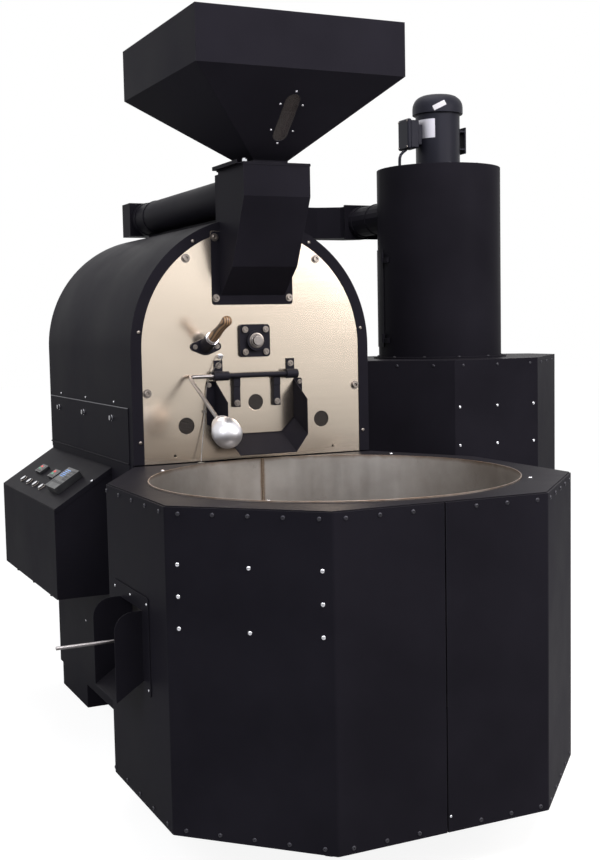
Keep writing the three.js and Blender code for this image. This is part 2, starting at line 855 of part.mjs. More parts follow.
function binFrame() {
  const deck_bottom = leg_height + sheet + seat_gap;
  const deck_top = deck_bottom + bin_deck_thickness;
  const deck = cut(
    prismZ(inset(bin_outline, sheet + seat_gap * 2), deck_bottom, deck_top),
    barZ(bin_deck_hole_radius, deck_bottom - overrun, deck_top + overrun, 0, bin_y, barrel_sides),
  );
  const posts = [];
  for (let i = 0; i < bin_post_count; i++) {
    const turn = ((i + 1 / 2) * full_turn) / bin_post_count;
    const x = bin_post_circle_radius * Math.sin(turn);
    const y = bin_y + bin_post_circle_radius * Math.cos(turn);
    const h = bin_post / 2;
    posts.push(block(x - h, x + h, y - h, y + h, foot_pad_thickness / 2, bin_pan_bottom - seat_gap));
    posts.push(barZ(foot_pad_radius, 0, foot_pad_thickness, x, y));
  }
  piece("bin_frame", join(deck, ...posts), black_cast);
}

function stirrer() {
  const h = gearbox_width / 2;
  const box_bottom = bin_pan_top + seat_gap;
  const box_top = box_bottom + gearbox_height;
  const hub_top = bin_floor_top + gearbox_hub_stand;
  const gearbox = join(
    block(-h, h, bin_y - h, bin_y + h, box_bottom, box_top),
    barZ(gearbox_hub_radius, box_top - overrun, hub_top, 0, bin_y, pipe_sides),
    barZ(
      stirrer_motor_radius,
      bin_pan_top - stirrer_motor_drop,
      box_bottom + overrun,
      0,
      bin_y,
      pipe_sides,
    ),
  );
  piece("stirrer_gearbox", gearbox, black_cast);
  const foot = hub_top + seat_gap;
  const arm_bottom = bin_floor_top + stirrer_arm_rise;
  const reach = bin_radius - stirrer_tip_clearance;
  const parts = [barZ(stirrer_column_radius, foot, foot + stirrer_column_height, 0, bin_y)];
  for (let i = 0; i < stirrer_arm_count; i++) {
    const w = stirrer_arm_width / 2;
    const t = stirrer_blade_thickness / 2;
    const arm_top = arm_bottom + stirrer_arm_thickness;
    const blade_bottom = bin_floor_top + stirrer_floor_clearance;
    const arm = join(
      block(0, reach, -w, w, arm_bottom, arm_top),
      block(stirrer_blade_inner, reach, -t, t, blade_bottom, arm_bottom + overrun),
    );
    parts.push(arm.rotate(0, 0, (i * 360) / stirrer_arm_count).translate(0, bin_y, 0));
  }
  piece("bin_stirrer", join(...parts), raw_steel);
}

// The bin's unloading chute and the hinged gate inside it
const gate_x = chute_panel_x + gate_inset;
const gate_axis_height = chute_top - gate_barrel_radius * 2;

function unloadChute() {
  const inner_x = -bin_radius + overrun * 8;
  const floor_at = (x) => chute_panel_floor + (x - chute_panel_x) * chute_slope;
  const side = new THREE.Shape();
  side.moveTo(inner_x, floor_at(inner_x));
  side.lineTo(inner_x, chute_top);
  side.lineTo(chute_outer_x + chute_corner, chute_top);
  side.absarc(
    chute_outer_x + chute_corner,
    chute_top - chute_corner,
    chute_corner,
    quarter_turn,
    half_turn,
    false,
  );
  side.lineTo(chute_outer_x, chute_outer_floor);
  const floor_outline = [
    [inner_x, floor_at(inner_x)],
    [inner_x, floor_at(inner_x) + sheet],
    [chute_outer_x, chute_outer_floor + sheet],
    [chute_outer_x, chute_outer_floor],
  ];
  const plate_x = chute_panel_x - seat_gap;
  const y0 = bin_y - chute_plate_width / 2;
  const y1 = bin_y + chute_plate_width / 2;
  const plate = cut(
    prismX(
      roundedRectangle(y0, y1, chute_plate_bottom, chute_plate_top, chute_plate_corner),
      plate_x - sheet,
      plate_x,
    ),
    block(
      plate_x - sheet - overrun,
      plate_x + overrun,
      bin_y - chute_inner_half,
      bin_y + chute_inner_half,
      chute_panel_floor,
      chute_top,
    ),
  );
  const chute = join(
    plate,
    prismY(side, bin_y - chute_half, bin_y - chute_inner_half),
    prismY(side, bin_y + chute_inner_half, bin_y + chute_half),
    prismY(floor_outline, bin_y - chute_half, bin_y + chute_half),
  );
  const wall_clearance = plug(bin_outer_radius + seat_gap, 0, bin_panel_top, 0, bin_y, large_sides);
  const pin_hole = bore(
    gate_pin_radius + running_gap,
    at(gate_x, bin_y - chute_width, gate_axis_height),
    at(gate_x, bin_y + chute_width, gate_axis_height),
    small_sides,
  );
  piece("unload_chute", cut(chute, wall_clearance, pin_hole), black_coat);

  const gate_half = chute_inner_half - gate_side_clearance;
  const pin_half = chute_half + gate_pin_stand;
  const gate_bottom = floor_at(gate_x) + sheet + gate_floor_clearance * 2;
  const t = sheet / 2;
  const gate = join(
    block(gate_x - t, gate_x + t, bin_y - gate_half, bin_y + gate_half, gate_bottom, gate_axis_height),
    barY(gate_barrel_radius, bin_y - gate_half, bin_y + gate_half, gate_x, gate_axis_height, small_sides),
    barY(gate_pin_radius, bin_y - pin_half, bin_y + pin_half, gate_x, gate_axis_height, small_sides),
    barX(gate_rod_radius, chute_panel_x - gate_rod_reach, gate_x, bin_y, gate_rod_height),
  );
  piece("unload_gate", gate, zinc_steel);
}

// Base cabinet with its plinth and front legs, one welded piece
function baseCabinet() {
  const top = housing_bottom - seat_gap;
  const x = housing_half;
  const rear = base_front + base_depth;
  const shell = cut(
    block(-x, x, base_front, rear, base_bottom, top),
    block(
      -x + base_skirt,
      x - base_skirt,
      base_front + base_skirt,
      rear - base_skirt,
      0,
      top - base_skirt,
    ),
  );
  const plinth = cut(
    block(-x, x, base_plinth_front, base_plinth_rear, 0, base_bottom + base_skirt),
    block(
      -x + base_skirt,
      x - base_skirt,
      base_plinth_front + base_skirt,
      base_plinth_rear - base_skirt,
      -overrun,
      base_bottom + base_skirt + overrun,
    ),
  );
  const legs = [-1, 1].map((s) => {
    const leg_x = s * (x - base_leg_inset);
    const leg_y = base_front + base_leg_inset;
    const h = base_leg / 2;
    const post = block(
      leg_x - h,
      leg_x + h,
      leg_y - h,
      leg_y + h,
      foot_pad_thickness / 2,
      top - base_skirt / 2,
    );
    return join(post, barZ(foot_pad_radius, 0, foot_pad_thickness, leg_x, leg_y));
  });
  piece("base_cabinet", join(shell, plinth, ...legs), black_coat);
}

// The outline of the housing, moved inwards by a distance
function archOutline(distance, bottom = housing_bottom) {
  const half = housing_half - distance;
  const shape = new THREE.Shape();
  shape.moveTo(-half, bottom);
  shape.lineTo(half, bottom);
  shape.absarc(0, housing_arch_height, half, 0, half_turn, false);
  return shape;
}

function housing() {
  const opening_front = side_door_front + side_door_overlap;
  const opening_rear = side_door_rear - side_door_overlap;
  const hollow = archOutline(sheet, housing_bottom - overrun);
  const wrapper = cut(
    prismY(archOutline(0), seat_gap, housing_depth, arch_steps),
    prismY(hollow, -overrun, housing_depth + overrun, arch_steps),
    block(
      -housing_half - overrun,
      -housing_half + sheet + overrun,
      opening_front,
      opening_rear,
      housing_bottom + side_door_overlap,
      side_door_top - side_door_overlap,
    ),
    block(
      -roof_port_width / 2,
      roof_port_width / 2,
      roof_port_front,
      roof_port_rear,
      housing_arch_height,
      housing_arch_height + housing_half + overrun,
    ),
  );
  const flange = (s) => {
    const outer = s * (housing_half - sheet / 2);
    const inner = s * (housing_half - housing_flange);
    return block(
      Math.min(outer, inner),
      Math.max(outer, inner),
      face_thickness + overrun,
      housing_depth - face_thickness - overrun,
      housing_bottom,
      housing_bottom + sheet,
    );
  };
  piece("housing_shell", join(wrapper, flange(-1), flange(1)), black_coat);

  const rim = cut(
    prismY(archOutline(0), -sheet, 0, arch_steps),
    prismY(archOutline(rim_width, housing_bottom - overrun), -sheet - overrun, overrun, arch_steps),
    block(
      -feed_plate_half - feed_rim_clearance,
      feed_plate_half + feed_rim_clearance,
      -sheet - overrun,
      overrun,
      housing_arch_height,
      feed_plate_top + feed_rim_clearance,
    ),
  );
  piece("housing_rim", rim, black_coat);

  const plate_outline = archOutline(sheet + seat_gap, housing_bottom);
  const front = seat_gap;
  const back = seat_gap + face_thickness;
  const through = (radius, x, z, sides = pipe_sides) => barY(
    radius,
    front - overrun,
    back + overrun,
    x,
    z,
    sides,
  );
  const opening_half = door_half - door_overlap;
  const discharge_port = [
    [-opening_half, door_bottom + door_overlap + door_corner],
    [-opening_half + door_corner, door_bottom + door_overlap],
    [opening_half - door_corner, door_bottom + door_overlap],
    [opening_half, door_bottom + door_overlap + door_corner],
    [opening_half, door_top - door_overlap],
    [-opening_half, door_top - door_overlap],
  ];
  const feed_port_half = feed_half - sheet;
  const face = cut(
    prismY(plate_outline, front, back, arch_steps),
    prismY(discharge_port, front - overrun, back + overrun),
    block(
      -feed_port_half,
      feed_port_half,
      front - overrun,
      back + overrun,
      feed_bottom + sheet * 3,
      feed_opening_top,
    ),
    through(shaft_radius + running_gap + overrun, 0, axis_height),
    through(sight_radius + seat_gap, -sight_offset, sight_height),
    through(sight_radius + seat_gap, sight_offset, sight_height),
    through(vent_radius, -vent_offset, vent_height, small_sides),
    through(vent_radius, vent_offset, vent_height, small_sides),
    through(trier_tube_radius + trier_flange_thickness, -trier_offset, trier_height),
    through(probe_body_radius + seat_gap, -probe_offset, probe_height, small_sides),
  );
  piece("face_plate", face, brushed_steel);
  const rear_back = housing_depth - seat_gap;
  const rear = cut(
    prismY(plate_outline, rear_back - face_thickness, rear_back, arch_steps),
    barY(
      shaft_radius + running_gap + overrun,
      rear_back - face_thickness - overrun,
      rear_back + overrun,
      0,
      axis_height,
      pipe_sides,
    ),
  );
  piece("rear_plate", rear, black_coat);
  for (const [side, s] of [["left", -1], ["right", 1]]) {
    const glass_radius = sight_radius * Math.cos(half_turn / pipe_sides);
    const glass = barY(
      glass_radius,
      front + overrun,
      front + overrun + glass_thickness,
      s * sight_offset,
      sight_height,
      pipe_sides,
    );
    piece("sight_glass_" + side, glass, dark_glass);
  }
}

// Drum with its two spiders and vanes, its shaft, and the bearings and gearmotor that carry it
function drumAndDrive() {
  const inner = drum_radius - drum_wall;
  const tube = cut(
    barY(drum_radius, drum_front, drum_rear, 0, axis_height, barrel_sides),
    barY(inner, drum_front + drum_wall, drum_rear + overrun, 0, axis_height, barrel_sides),
    barY(drum_radius - drum_lip, drum_front - overrun, drum_rear, 0, axis_height, barrel_sides),
  );
  const end_wall = barY(
    drum_radius - drum_wall / 2,
    drum_rear - drum_wall,
    drum_rear,
    0,
    axis_height,
    barrel_sides,
  );
  const parts = [tube, end_wall];
  // Each hub starts flush with its spokes and runs towards the other spider
  for (const [spider_y, way] of [
    [drum_spider_front, 1],
    [drum_spider_rear, -1],
  ]) {
    const w = drum_spoke_width / 2;
    const t = drum_spoke_thickness / 2;
    const seat = spider_y - way * t;
    const end = seat + way * drum_hub_length;
    const [y0, y1] = [Math.min(seat, end), Math.max(seat, end)];
    parts.push(barY(drum_hub_radius, y0, y1, 0, axis_height, pipe_sides));
    for (let i = 0; i < drum_spoke_count / 2; i++) {
      const spokes = block(-inner - overrun, inner + overrun, spider_y - t, spider_y + t, -w, w);
      parts.push(spokes.rotate(0, (i * 360) / drum_spoke_count, 0).translate(0, 0, axis_height));
    }
  }
  for (let i = 0; i < drum_vane_count; i++) {
    const t = drum_vane_thickness / 2;
    const vane = block(
      inner - drum_vane_height,
      inner + overrun,
      drum_front + drum_lip,
      drum_rear - drum_wall / 2,
      -t,
      t,
    );
    const turn = ((i + 1 / 2) * 360) / drum_vane_count;
    parts.push(vane.rotate(0, turn, 0).translate(0, 0, axis_height));
  }
  const shaft_hole = bore(
    shaft_radius + seat_gap,
    at(0, 0, axis_height),
    at(0, drum_rear + drum_hub_length, axis_height),
    pipe_sides,
  );
  piece("drum", cut(join(...parts), shaft_hole), raw_steel);
  piece(
    "drum_shaft",
    barY(shaft_radius, -shaft_front_reach, shaft_rear_reach, 0, axis_height, pipe_sides),
    zinc_steel,
  );

  const bearing = (base, outward) => {
    const h = bearing_width / 2;
    const span = (a, b) => [
      Math.min(base + outward * a, base + outward * b),
      Math.max(base + outward * a, base + outward * b),
    ];
    const flange_outline = roundedRectangle(-h, h, axis_height - h, axis_height + h, bearing_corner);
    const parts = [
      prismY(flange_outline, ...span(0, bearing_flange)),
      barY(
        bearing_boss_radius,
        ...span(0, bearing_flange + bearing_boss_stand),
        0,
        axis_height,
        pipe_sides,
      ),
    ];
    for (const i of [-1, 1]) {
      for (const j of [-1, 1]) {
        const reach = h - bearing_bolt_inset;
        const [y0, y1] = span(bearing_flange / 2, bearing_flange + bearing_bolt_stand);
        parts.push(barY(bearing_bolt_radius, y0, y1, i * reach, axis_height + j * reach, small_sides));
      }
    }
    const [y0, y1] = span(-overrun, bearing_flange + bearing_boss_stand + overrun);
    const hole = bore(
      shaft_radius + running_gap,
      at(0, y0, axis_height),
      at(0, y1, axis_height),
      pipe_sides,
    );
    return cut(join(...parts), hole);
  };
  piece("front_bearing", bearing(0, -1), black_cast);
  const rear_seat = housing_depth;
  piece("rear_bearing", bearing(rear_seat, 1), black_cast);

  const drive_front = rear_seat + bearing_flange + bearing_boss_stand + overrun;
  const drive_rear = drive_front + gearmotor_length;
  const w = gearmotor_width / 2;
  const drive_bottom = axis_height - gearmotor_height + w;
  const motor_height = drive_bottom + gearmotor_motor_radius;
  const torque_arm = block(
    -w,
    -w + base_skirt * 2,
    rear_seat + seat_gap,
    drive_front + overrun,
    drive_bottom,
    drive_bottom + w,
  );
  const gearmotor = join(
    block(-w, w, drive_front, drive_rear, drive_bottom, axis_height + w),
    barY(
      gearmotor_motor_radius,
      drive_rear - overrun,
      drive_rear + gearmotor_motor_length,
      0,
      motor_height,
      pipe_sides,
    ),
    torque_arm,
  );
  const drive_hole = bore(
    shaft_radius + running_gap,
    at(0, drive_front - overrun, axis_height),
    at(0, drive_rear + gearmotor_motor_length, axis_height),
    pipe_sides,
  );
  piece("drum_gearmotor", cut(gearmotor, drive_hole), black_cast);

  const rack = [];
  const rack_half = ((burner_count - 1) * burner_pitch) / 2;
  for (let i = 0; i < burner_count; i++) {
    rack.push(
      barY(
        burner_radius,
        burner_front,
        burner_rear,
        i * burner_pitch - rack_half,
        burner_height,
        small_sides,
      ),
    );
  }
  for (const y of [burner_front, burner_rear - burner_manifold]) {
    const z = burner_height - burner_radius / 2;
    rack.push(block(-rack_half, rack_half, y, y + burner_manifold, z, z + burner_radius));
    for (const s of [-1, 1]) {
      const x = s * (rack_half - burner_foot);
      rack.push(
        block(
          x - burner_foot / 2,
          x + burner_foot / 2,
          y,
          y + burner_manifold,
          housing_bottom,
          z + overrun,
        ),
      );
    }
  }
  piece("burner_rack", join(...rack), zinc_steel);
}

// Burner access door and the piano hinge along its lower edge
const side_hinge_x = -housing_half - side_hinge_stand;

function sideDoor() {
  const outer = -housing_half - seat_gap - sheet;
  const inner = -housing_half - seat_gap;
  const door = [
    block(outer, inner, side_door_front, side_door_rear, side_hinge_height + overrun, side_door_top),
  ];
  for (let i = 0; i < side_bolt_count; i++) {
    const y = side_bolt_first + i * side_bolt_pitch;
    door.push(
      barX(side_bolt_radius, outer - side_bolt_stand, outer + overrun / 2, y, side_bolt_height, 6),
    );
  }
  const leaf_top = side_hinge_height - side_hinge_radius / 2;
  const hinge = [
    block(outer, inner, side_door_front, side_door_rear, leaf_top - side_hinge_leaf, leaf_top),
    barY(
      side_hinge_pin_radius,
      side_door_front,
      side_door_rear,
      side_hinge_x,
      side_hinge_height,
      small_sides,
    ),
  ];
  const pitch = (side_door_rear - side_door_front) / side_hinge_pieces;
  const door_knuckles = [];
  for (let i = 0; i < side_hinge_pieces; i++) {
    const y0 = side_door_front + i * pitch + side_hinge_piece_gap / 2;
    const y1 = side_door_front + (i + 1) * pitch - side_hinge_piece_gap / 2;
    const knuckle = barY(side_hinge_radius, y0, y1, side_hinge_x, side_hinge_height, small_sides);
    if (i % 2) door_knuckles.push(knuckle);
    else hinge.push(knuckle);
    // Each leaf is notched where the other leaf has its knuckle
    const notch = block(
      outer - overrun,
      inner + overrun,
      y0 - side_hinge_piece_gap / 2,
      y1 + side_hinge_piece_gap / 2,
      side_hinge_height - side_hinge_radius - running_gap,
      side_hinge_height + side_hinge_radius + running_gap,
    );
    if (i % 2) hinge[0] = hinge[0].subtract(notch);
    else door[0] = door[0].subtract(notch);
  }
  const pin_way = bore(
    side_hinge_pin_radius + running_gap,
    at(side_hinge_x, side_door_front - overrun, side_hinge_height),
    at(side_hinge_x, side_door_rear + overrun, side_hinge_height),
    small_sides,
  );
  piece("side_door", cut(join(...door, ...door_knuckles), pin_way), black_coat);
  piece("side_door_hinge", join(...hinge), black_coat);
}

// Discharge door, the shaft it hangs from, and the weighted lever that lifts it
const lever_way = at(0, -Math.cos(radians(lever_fall_degrees)), -Math.sin(radians(lever_fall_degrees)));

function dischargeDoor() {
  const back = 0;
  const front = -door_thickness;
  const outline = [
    [-door_half, door_bottom + door_corner],
    [-door_half + door_corner, door_bottom],
    [door_half - door_corner, door_bottom],
    [door_half, door_bottom + door_corner],
    [door_half, door_top],
    [-door_half, door_top],
  ];
  const lens_hole = barY(
    door_glass_radius + seat_gap,
    front - overrun,
    back + overrun,
    0,
    door_glass_height,
    pipe_sides,
  );
  piece("discharge_door", cut(prismY(outline, front, back), lens_hole), brushed_steel);
  const lens_radius = door_glass_radius * Math.cos(half_turn / pipe_sides);
  piece(
    "door_glass",
    barY(lens_radius, front + overrun / 2, back, 0, door_glass_height, pipe_sides),
    dark_glass,
  );

  const axis_y = -door_axis_reach;
  const shaft = [barX(door_shaft_radius, -door_shaft_left, door_shaft_right, axis_y, door_axis_height)];
  for (const s of [-1, 1]) {
    const x = s * door_arm_offset;
    const w = door_arm_width / 2;
    const arm_back = front - seat_gap;
    shaft.push(block(x - w, x + w, -door_arm_reach, arm_back, door_arm_bottom, door_top - seat_gap));
    const web_top = door_axis_height + door_shaft_radius / 2;
    shaft.push(
      block(x - w, x + w, -door_arm_reach - sheet, arm_back, door_top - door_arm_width, web_top),
    );
  }
  piece("door_shaft", join(...shaft), black_coat);

  const bend = at(-lever_bend_offset, axis_y, door_axis_height);
  const rod_start = at(-door_shaft_left - seat_gap, axis_y, door_axis_height);
  const knob_start = knob_centre_distance - knob_length / 2;
  const rod_end = bend.clone().addScaledVector(lever_way, knob_start + knob_rod_depth);
  const elbow = new THREE.SphereGeometry(
    lever_rod_radius,
    rod_sides,
    small_sides,
  ).translate(...bend.toArray());
  const rod = join(
    bar(lever_rod_radius, rod_start, bend),
    bar(lever_rod_radius, bend, rod_end),
    solid(elbow),
  );
  piece("door_lever", rod, zinc_steel);

  // The weight is turned about its own line: a neck, a cone, a short barrel and a round nose
  const nose = knob_length - knob_radius;
  const profile = [
    [0, 0],
    [knob_neck_radius, 0],
    [knob_radius, nose * knob_cone_share],
    [knob_radius, nose],
  ];
  const nose_steps = 6;
  for (let i = 1; i < nose_steps; i++) {
    const turn = (i * quarter_turn) / nose_steps;
    profile.push([knob_radius * Math.cos(turn), nose + knob_radius * Math.sin(turn)]);
  }
  profile.push([0, knob_length]);
  const weight = new THREE.LatheGeometry(
    profile.map(([radius, height]) => new THREE.Vector2(radius, height)),
    pipe_sides,
  );
  weight.applyQuaternion(new THREE.Quaternion().setFromUnitVectors(at(0, 1, 0), lever_way));
  weight.translate(...bend.clone().addScaledVector(lever_way, knob_start).toArray());
  const socket = bore(
    lever_rod_radius + seat_gap,
    bend,
    rod_end.clone().addScaledVector(lever_way, seat_gap),
  );
  piece("lever_knob", cut(solid(weight), socket), aluminium);

  for (const [side, x, [boss_start, boss_end]] of [
    ["left", -bracket_offset, bracket_boss_left],
    ["right", bracket_offset, bracket_boss_right],
  ]) {
    const w = bracket_plate_width / 2;
    const boss_top = door_axis_height + bracket_boss_radius;
    const web = block(x - w, x + w, axis_y, back, door_axis_height - door_shaft_radius, boss_top);
    const bracket = join(
      block(x - w, x + w, -bracket_plate_thickness, back, door_axis_height, bracket_plate_top),
      web,
      barX(bracket_boss_radius, boss_start, boss_end, axis_y, door_axis_height),
    );
    const hole = bore(
      door_shaft_radius + running_gap,
      at(boss_start - overrun, axis_y, door_axis_height),
      at(boss_end + overrun, axis_y, door_axis_height),
    );
    piece("hinge_bracket_" + side, cut(bracket, hole), black_cast);
  }
}

// The folded spout below the discharge door
function dischargeChute() {
  const section = (y, half, top, floor, across, up) => [
    at(-half, y, top),
    at(-half, y, floor + up),
    at(-half + across, y, floor),
    at(half - across, y, floor),
    at(half, y, floor + up),
    at(half, y, top),
  ];
  const outer = loft(
    section(0, spout_half, spout_face_top, spout_face_floor, spout_face_corner, spout_face_corner),
    section(
      -spout_reach,
      spout_half,
      spout_outer_top,
      spout_outer_floor,
      spout_outer_corner_across,
      spout_outer_corner_up,
    ),
  );
  // The hollow keeps the same slopes a little past both ends and above the top
  const fall = (spout_face_floor - spout_outer_floor) / spout_reach;
  const inner_half = spout_half - sheet;
  const inner = loft(
    section(
      overrun,
      inner_half,
      spout_face_top + sheet * 9,
      spout_face_floor + sheet + fall * overrun,
      spout_face_corner - sheet / 2,
      spout_face_corner - sheet / 2,
    ),
    section(
      -spout_reach - overrun,
      inner_half,
      spout_outer_top + sheet * 9,
      spout_outer_floor + sheet - fall * overrun,
      spout_outer_corner_across - sheet / 2,
      spout_outer_corner_up - sheet / 2,
    ),
  );
  const ears = [-1, 1].map((s) => {
    const near = s * (spout_half - sheet / 2);
    const far = s * (spout_half + spout_ear_width);
    return prismY(
      roundedRectangle(
        Math.min(near, far),
        Math.max(near, far),
        spout_ear_bottom,
        spout_face_top,
        sheet * 3,
      ),
      -sheet,
      0,
    );
  });
  piece("discharge_chute", cut(outer, inner).add(ears[0]).add(ears[1]), black_coat);
}

// Bean sampler: a half-open tube with a wooden handle, sliding in a tilted guide
const trier_way = at(0, -Math.cos(radians(trier_tilt_degrees)), Math.sin(radians(trier_tilt_degrees)));
const trier_seat = at(-trier_offset, 0, trier_height);
const onTrier = (distance) => trier_seat.clone().addScaledVector(trier_way, distance);

function trier() {
  const lobes = [-1, 1].map((s) =>
    barY(
      trier_lobe_radius,
      -trier_flange_thickness,
      0,
      s * trier_lobe_offset - trier_offset,
      trier_height,
    ),
  );
  // The diamond's straight sides touch the centre circle and both lobes
  const lean = Math.acos((trier_flange_radius - trier_lobe_radius) / trier_lobe_offset);
  const touch = (s, t, radius, x) => [
    x + s * radius * Math.cos(lean),
    trier_height + t * radius * Math.sin(lean),
  ];
  const diamond = [
    touch(-1, -1, trier_flange_radius, -trier_offset),
    touch(1, -1, trier_flange_radius, -trier_offset),
    touch(1, -1, trier_lobe_radius, trier_lobe_offset - trier_offset),
    touch(1, 1, trier_lobe_radius, trier_lobe_offset - trier_offset),
    touch(1, 1, trier_flange_radius, -trier_offset),
    touch(-1, 1, trier_flange_radius, -trier_offset),
    touch(-1, 1, trier_lobe_radius, -trier_lobe_offset - trier_offset),
    touch(-1, -1, trier_lobe_radius, -trier_lobe_offset - trier_offset),
  ];
  const guide = join(
    prismY(diamond, -trier_flange_thickness, 0),
    barY(trier_flange_radius, -trier_flange_thickness, 0, -trier_offset, trier_height, pipe_sides),
    ...lobes,
    bar(trier_boss_radius, onTrier(-trier_boss_radius), onTrier(trier_boss_length), pipe_sides),
  );
  const behind_face = block(
    -housing_half,
    0,
    0,
    housing_half,
    trier_height - housing_half,
    trier_height + housing_half,
  );
  const way = bore(
    trier_tube_radius + running_gap,
    onTrier(-trier_boss_length),
    onTrier(trier_boss_length + overrun),
    pipe_sides,
  );
  piece("trier_guide", cut(guide, behind_face, way), black_cast);

  const collar_start = trier_boss_length + running_gap;
  const collar_end = collar_start + trier_collar_thickness;
  const hollow = bar(
    trier_tube_radius - trier_tube_wall,
    onTrier(-trier_tube_depth + trier_tube_wall),
    onTrier(-trier_scoop_start),
    pipe_sides,
  );
  // The top half of the tube is cut away along the scoop
  const across = at(-1, 0, 0);
  const up = new THREE.Vector3().crossVectors(across, trier_way);
  const cut_length = trier_tube_depth - trier_scoop_start - trier_tube_wall * 3;
  const open_top = new THREE.BoxGeometry(trier_tube_radius * 3, cut_length, trier_tube_radius * 2)
    .translate(0, (-trier_tube_depth - trier_scoop_start) / 2, trier_tube_radius + overrun / 2)
    .applyMatrix4(new THREE.Matrix4().makeBasis(across, trier_way, up))
    .translate(...trier_seat.toArray());
  const scoop = cut(
    join(
      bar(trier_tube_radius, onTrier(-trier_tube_depth), onTrier(collar_start + overrun / 2), pipe_sides),
      bar(trier_collar_radius, onTrier(collar_start), onTrier(collar_end), pipe_sides),
    ),
    hollow,
    solid(open_top),
  );
  piece("trier_scoop", scoop, zinc_steel);

  const start = collar_end + seat_gap;
  const belly = trier_handle_length / 2;
  const round = trier_handle_radius;
  const profile = [
    [0, 0],
    [trier_handle_radius, 0],
    [trier_handle_radius, belly / 2],
    [trier_waist_radius, belly],
    [trier_waist_radius, belly * trier_waist_share],
  ];
  const steps = 5;
  for (let i = 0; i < steps; i++) {
    const turn = (i * quarter_turn) / steps;
    profile.push([round * Math.cos(turn), trier_handle_length - round + round * Math.sin(turn)]);
  }
  profile.push([0, trier_handle_length]);
  const handle = new THREE.LatheGeometry(
    profile.map(([radius, height]) => new THREE.Vector2(radius, height)),
    rod_sides,
  );
  handle.applyQuaternion(new THREE.Quaternion().setFromUnitVectors(at(0, 1, 0), trier_way));
  handle.translate(...onTrier(start).toArray());
  piece("trier_handle", solid(handle), wood);
}

// Temperature probe, with its lead clipped to the face and led into the bin's top plate
const lead_foot_x = lead_clip_x + lead_foot_way[0];
const lead_foot_y = lead_foot_way[1];

function probe() {
  const fitting = join(
    barY(probe_nut_radius, -probe_nut_length, 0, -probe_offset, probe_height, 6),
    barY(
      probe_body_radius,
      -probe_nut_length - probe_body_length,
      0,
      -probe_offset,
      probe_height,
      small_sides,
    ),
    barY(probe_tip_radius, -overrun, probe_depth, -probe_offset, probe_height, small_sides),
  );
  piece("probe_fitting", fitting, zinc_steel);
  const height = (share) => bin_plate_top + share * (probe_height - bin_plate_top);
  const way = (places, shares) =>
    places.map(([x, y], i) => at(lead_clip_x + x, y, height(shares[i])));
  const clip_y = -lead_clip_depth / 2;
  const clip_z = height(lead_clip_share);
  const route = [
    at(-probe_offset, -probe_nut_length - probe_body_length - seat_gap, probe_height),
    ...lead_bracket_shares.map(([along, out, down]) =>
      at(
        -probe_offset - along * lead_bracket_run,
        -out * door_axis_reach,
        probe_height - down * lead_bracket_drop,
      ),
    ),
    ...way(lead_upper_way, lead_upper_shares),
    at(lead_clip_x, clip_y, clip_z),
    ...way(lead_lower_way, lead_lower_shares),
    at(lead_foot_x, lead_foot_y, bin_plate_top + grommet_thickness * 2),
    at(lead_foot_x, lead_foot_y, bin_plate_bottom - sheet),
  ];
  const section = new THREE.Shape();
  for (let i = 0; i < lead_sides; i++) {
    const turn = (i * full_turn) / lead_sides;
    const place = [lead_radius * Math.cos(turn), lead_radius * Math.sin(turn)];
    if (i) section.lineTo(...place);
    else section.moveTo(...place);
  }
  const lead = new THREE.ExtrudeGeometry(section, {
    steps: lead_steps,
    bevelEnabled: false,
    extrudePath: new THREE.CatmullRomCurve3(route),
  });
  const w = lead_clip_width / 2;
  const h = lead_clip_height / 2;
  const clip_back = seat_gap - running_gap;
  const grommet_bottom = bin_plate_top + seat_gap;
  const grommet_top = grommet_bottom + grommet_thickness;
  const whole = join(
    solid(lead),
    block(
      lead_clip_x - w,
      lead_clip_x + w,
      clip_y - lead_radius * 2,
      clip_back,
      clip_z - h,
      clip_z + h,
    ),
    barZ(grommet_radius, grommet_bottom, grommet_top, lead_foot_x, lead_foot_y, rod_sides),
  );
  piece("probe_cable", whole, cable_grey);
}

// Feed chute on the face, the slide gate on top of it, and the hopper
const feed_rear = -sheet - seat_gap;
const guide_top = feed_top + sheet + gate_slide_clearance;
const hopper_flange_bottom = guide_top + seat_gap;

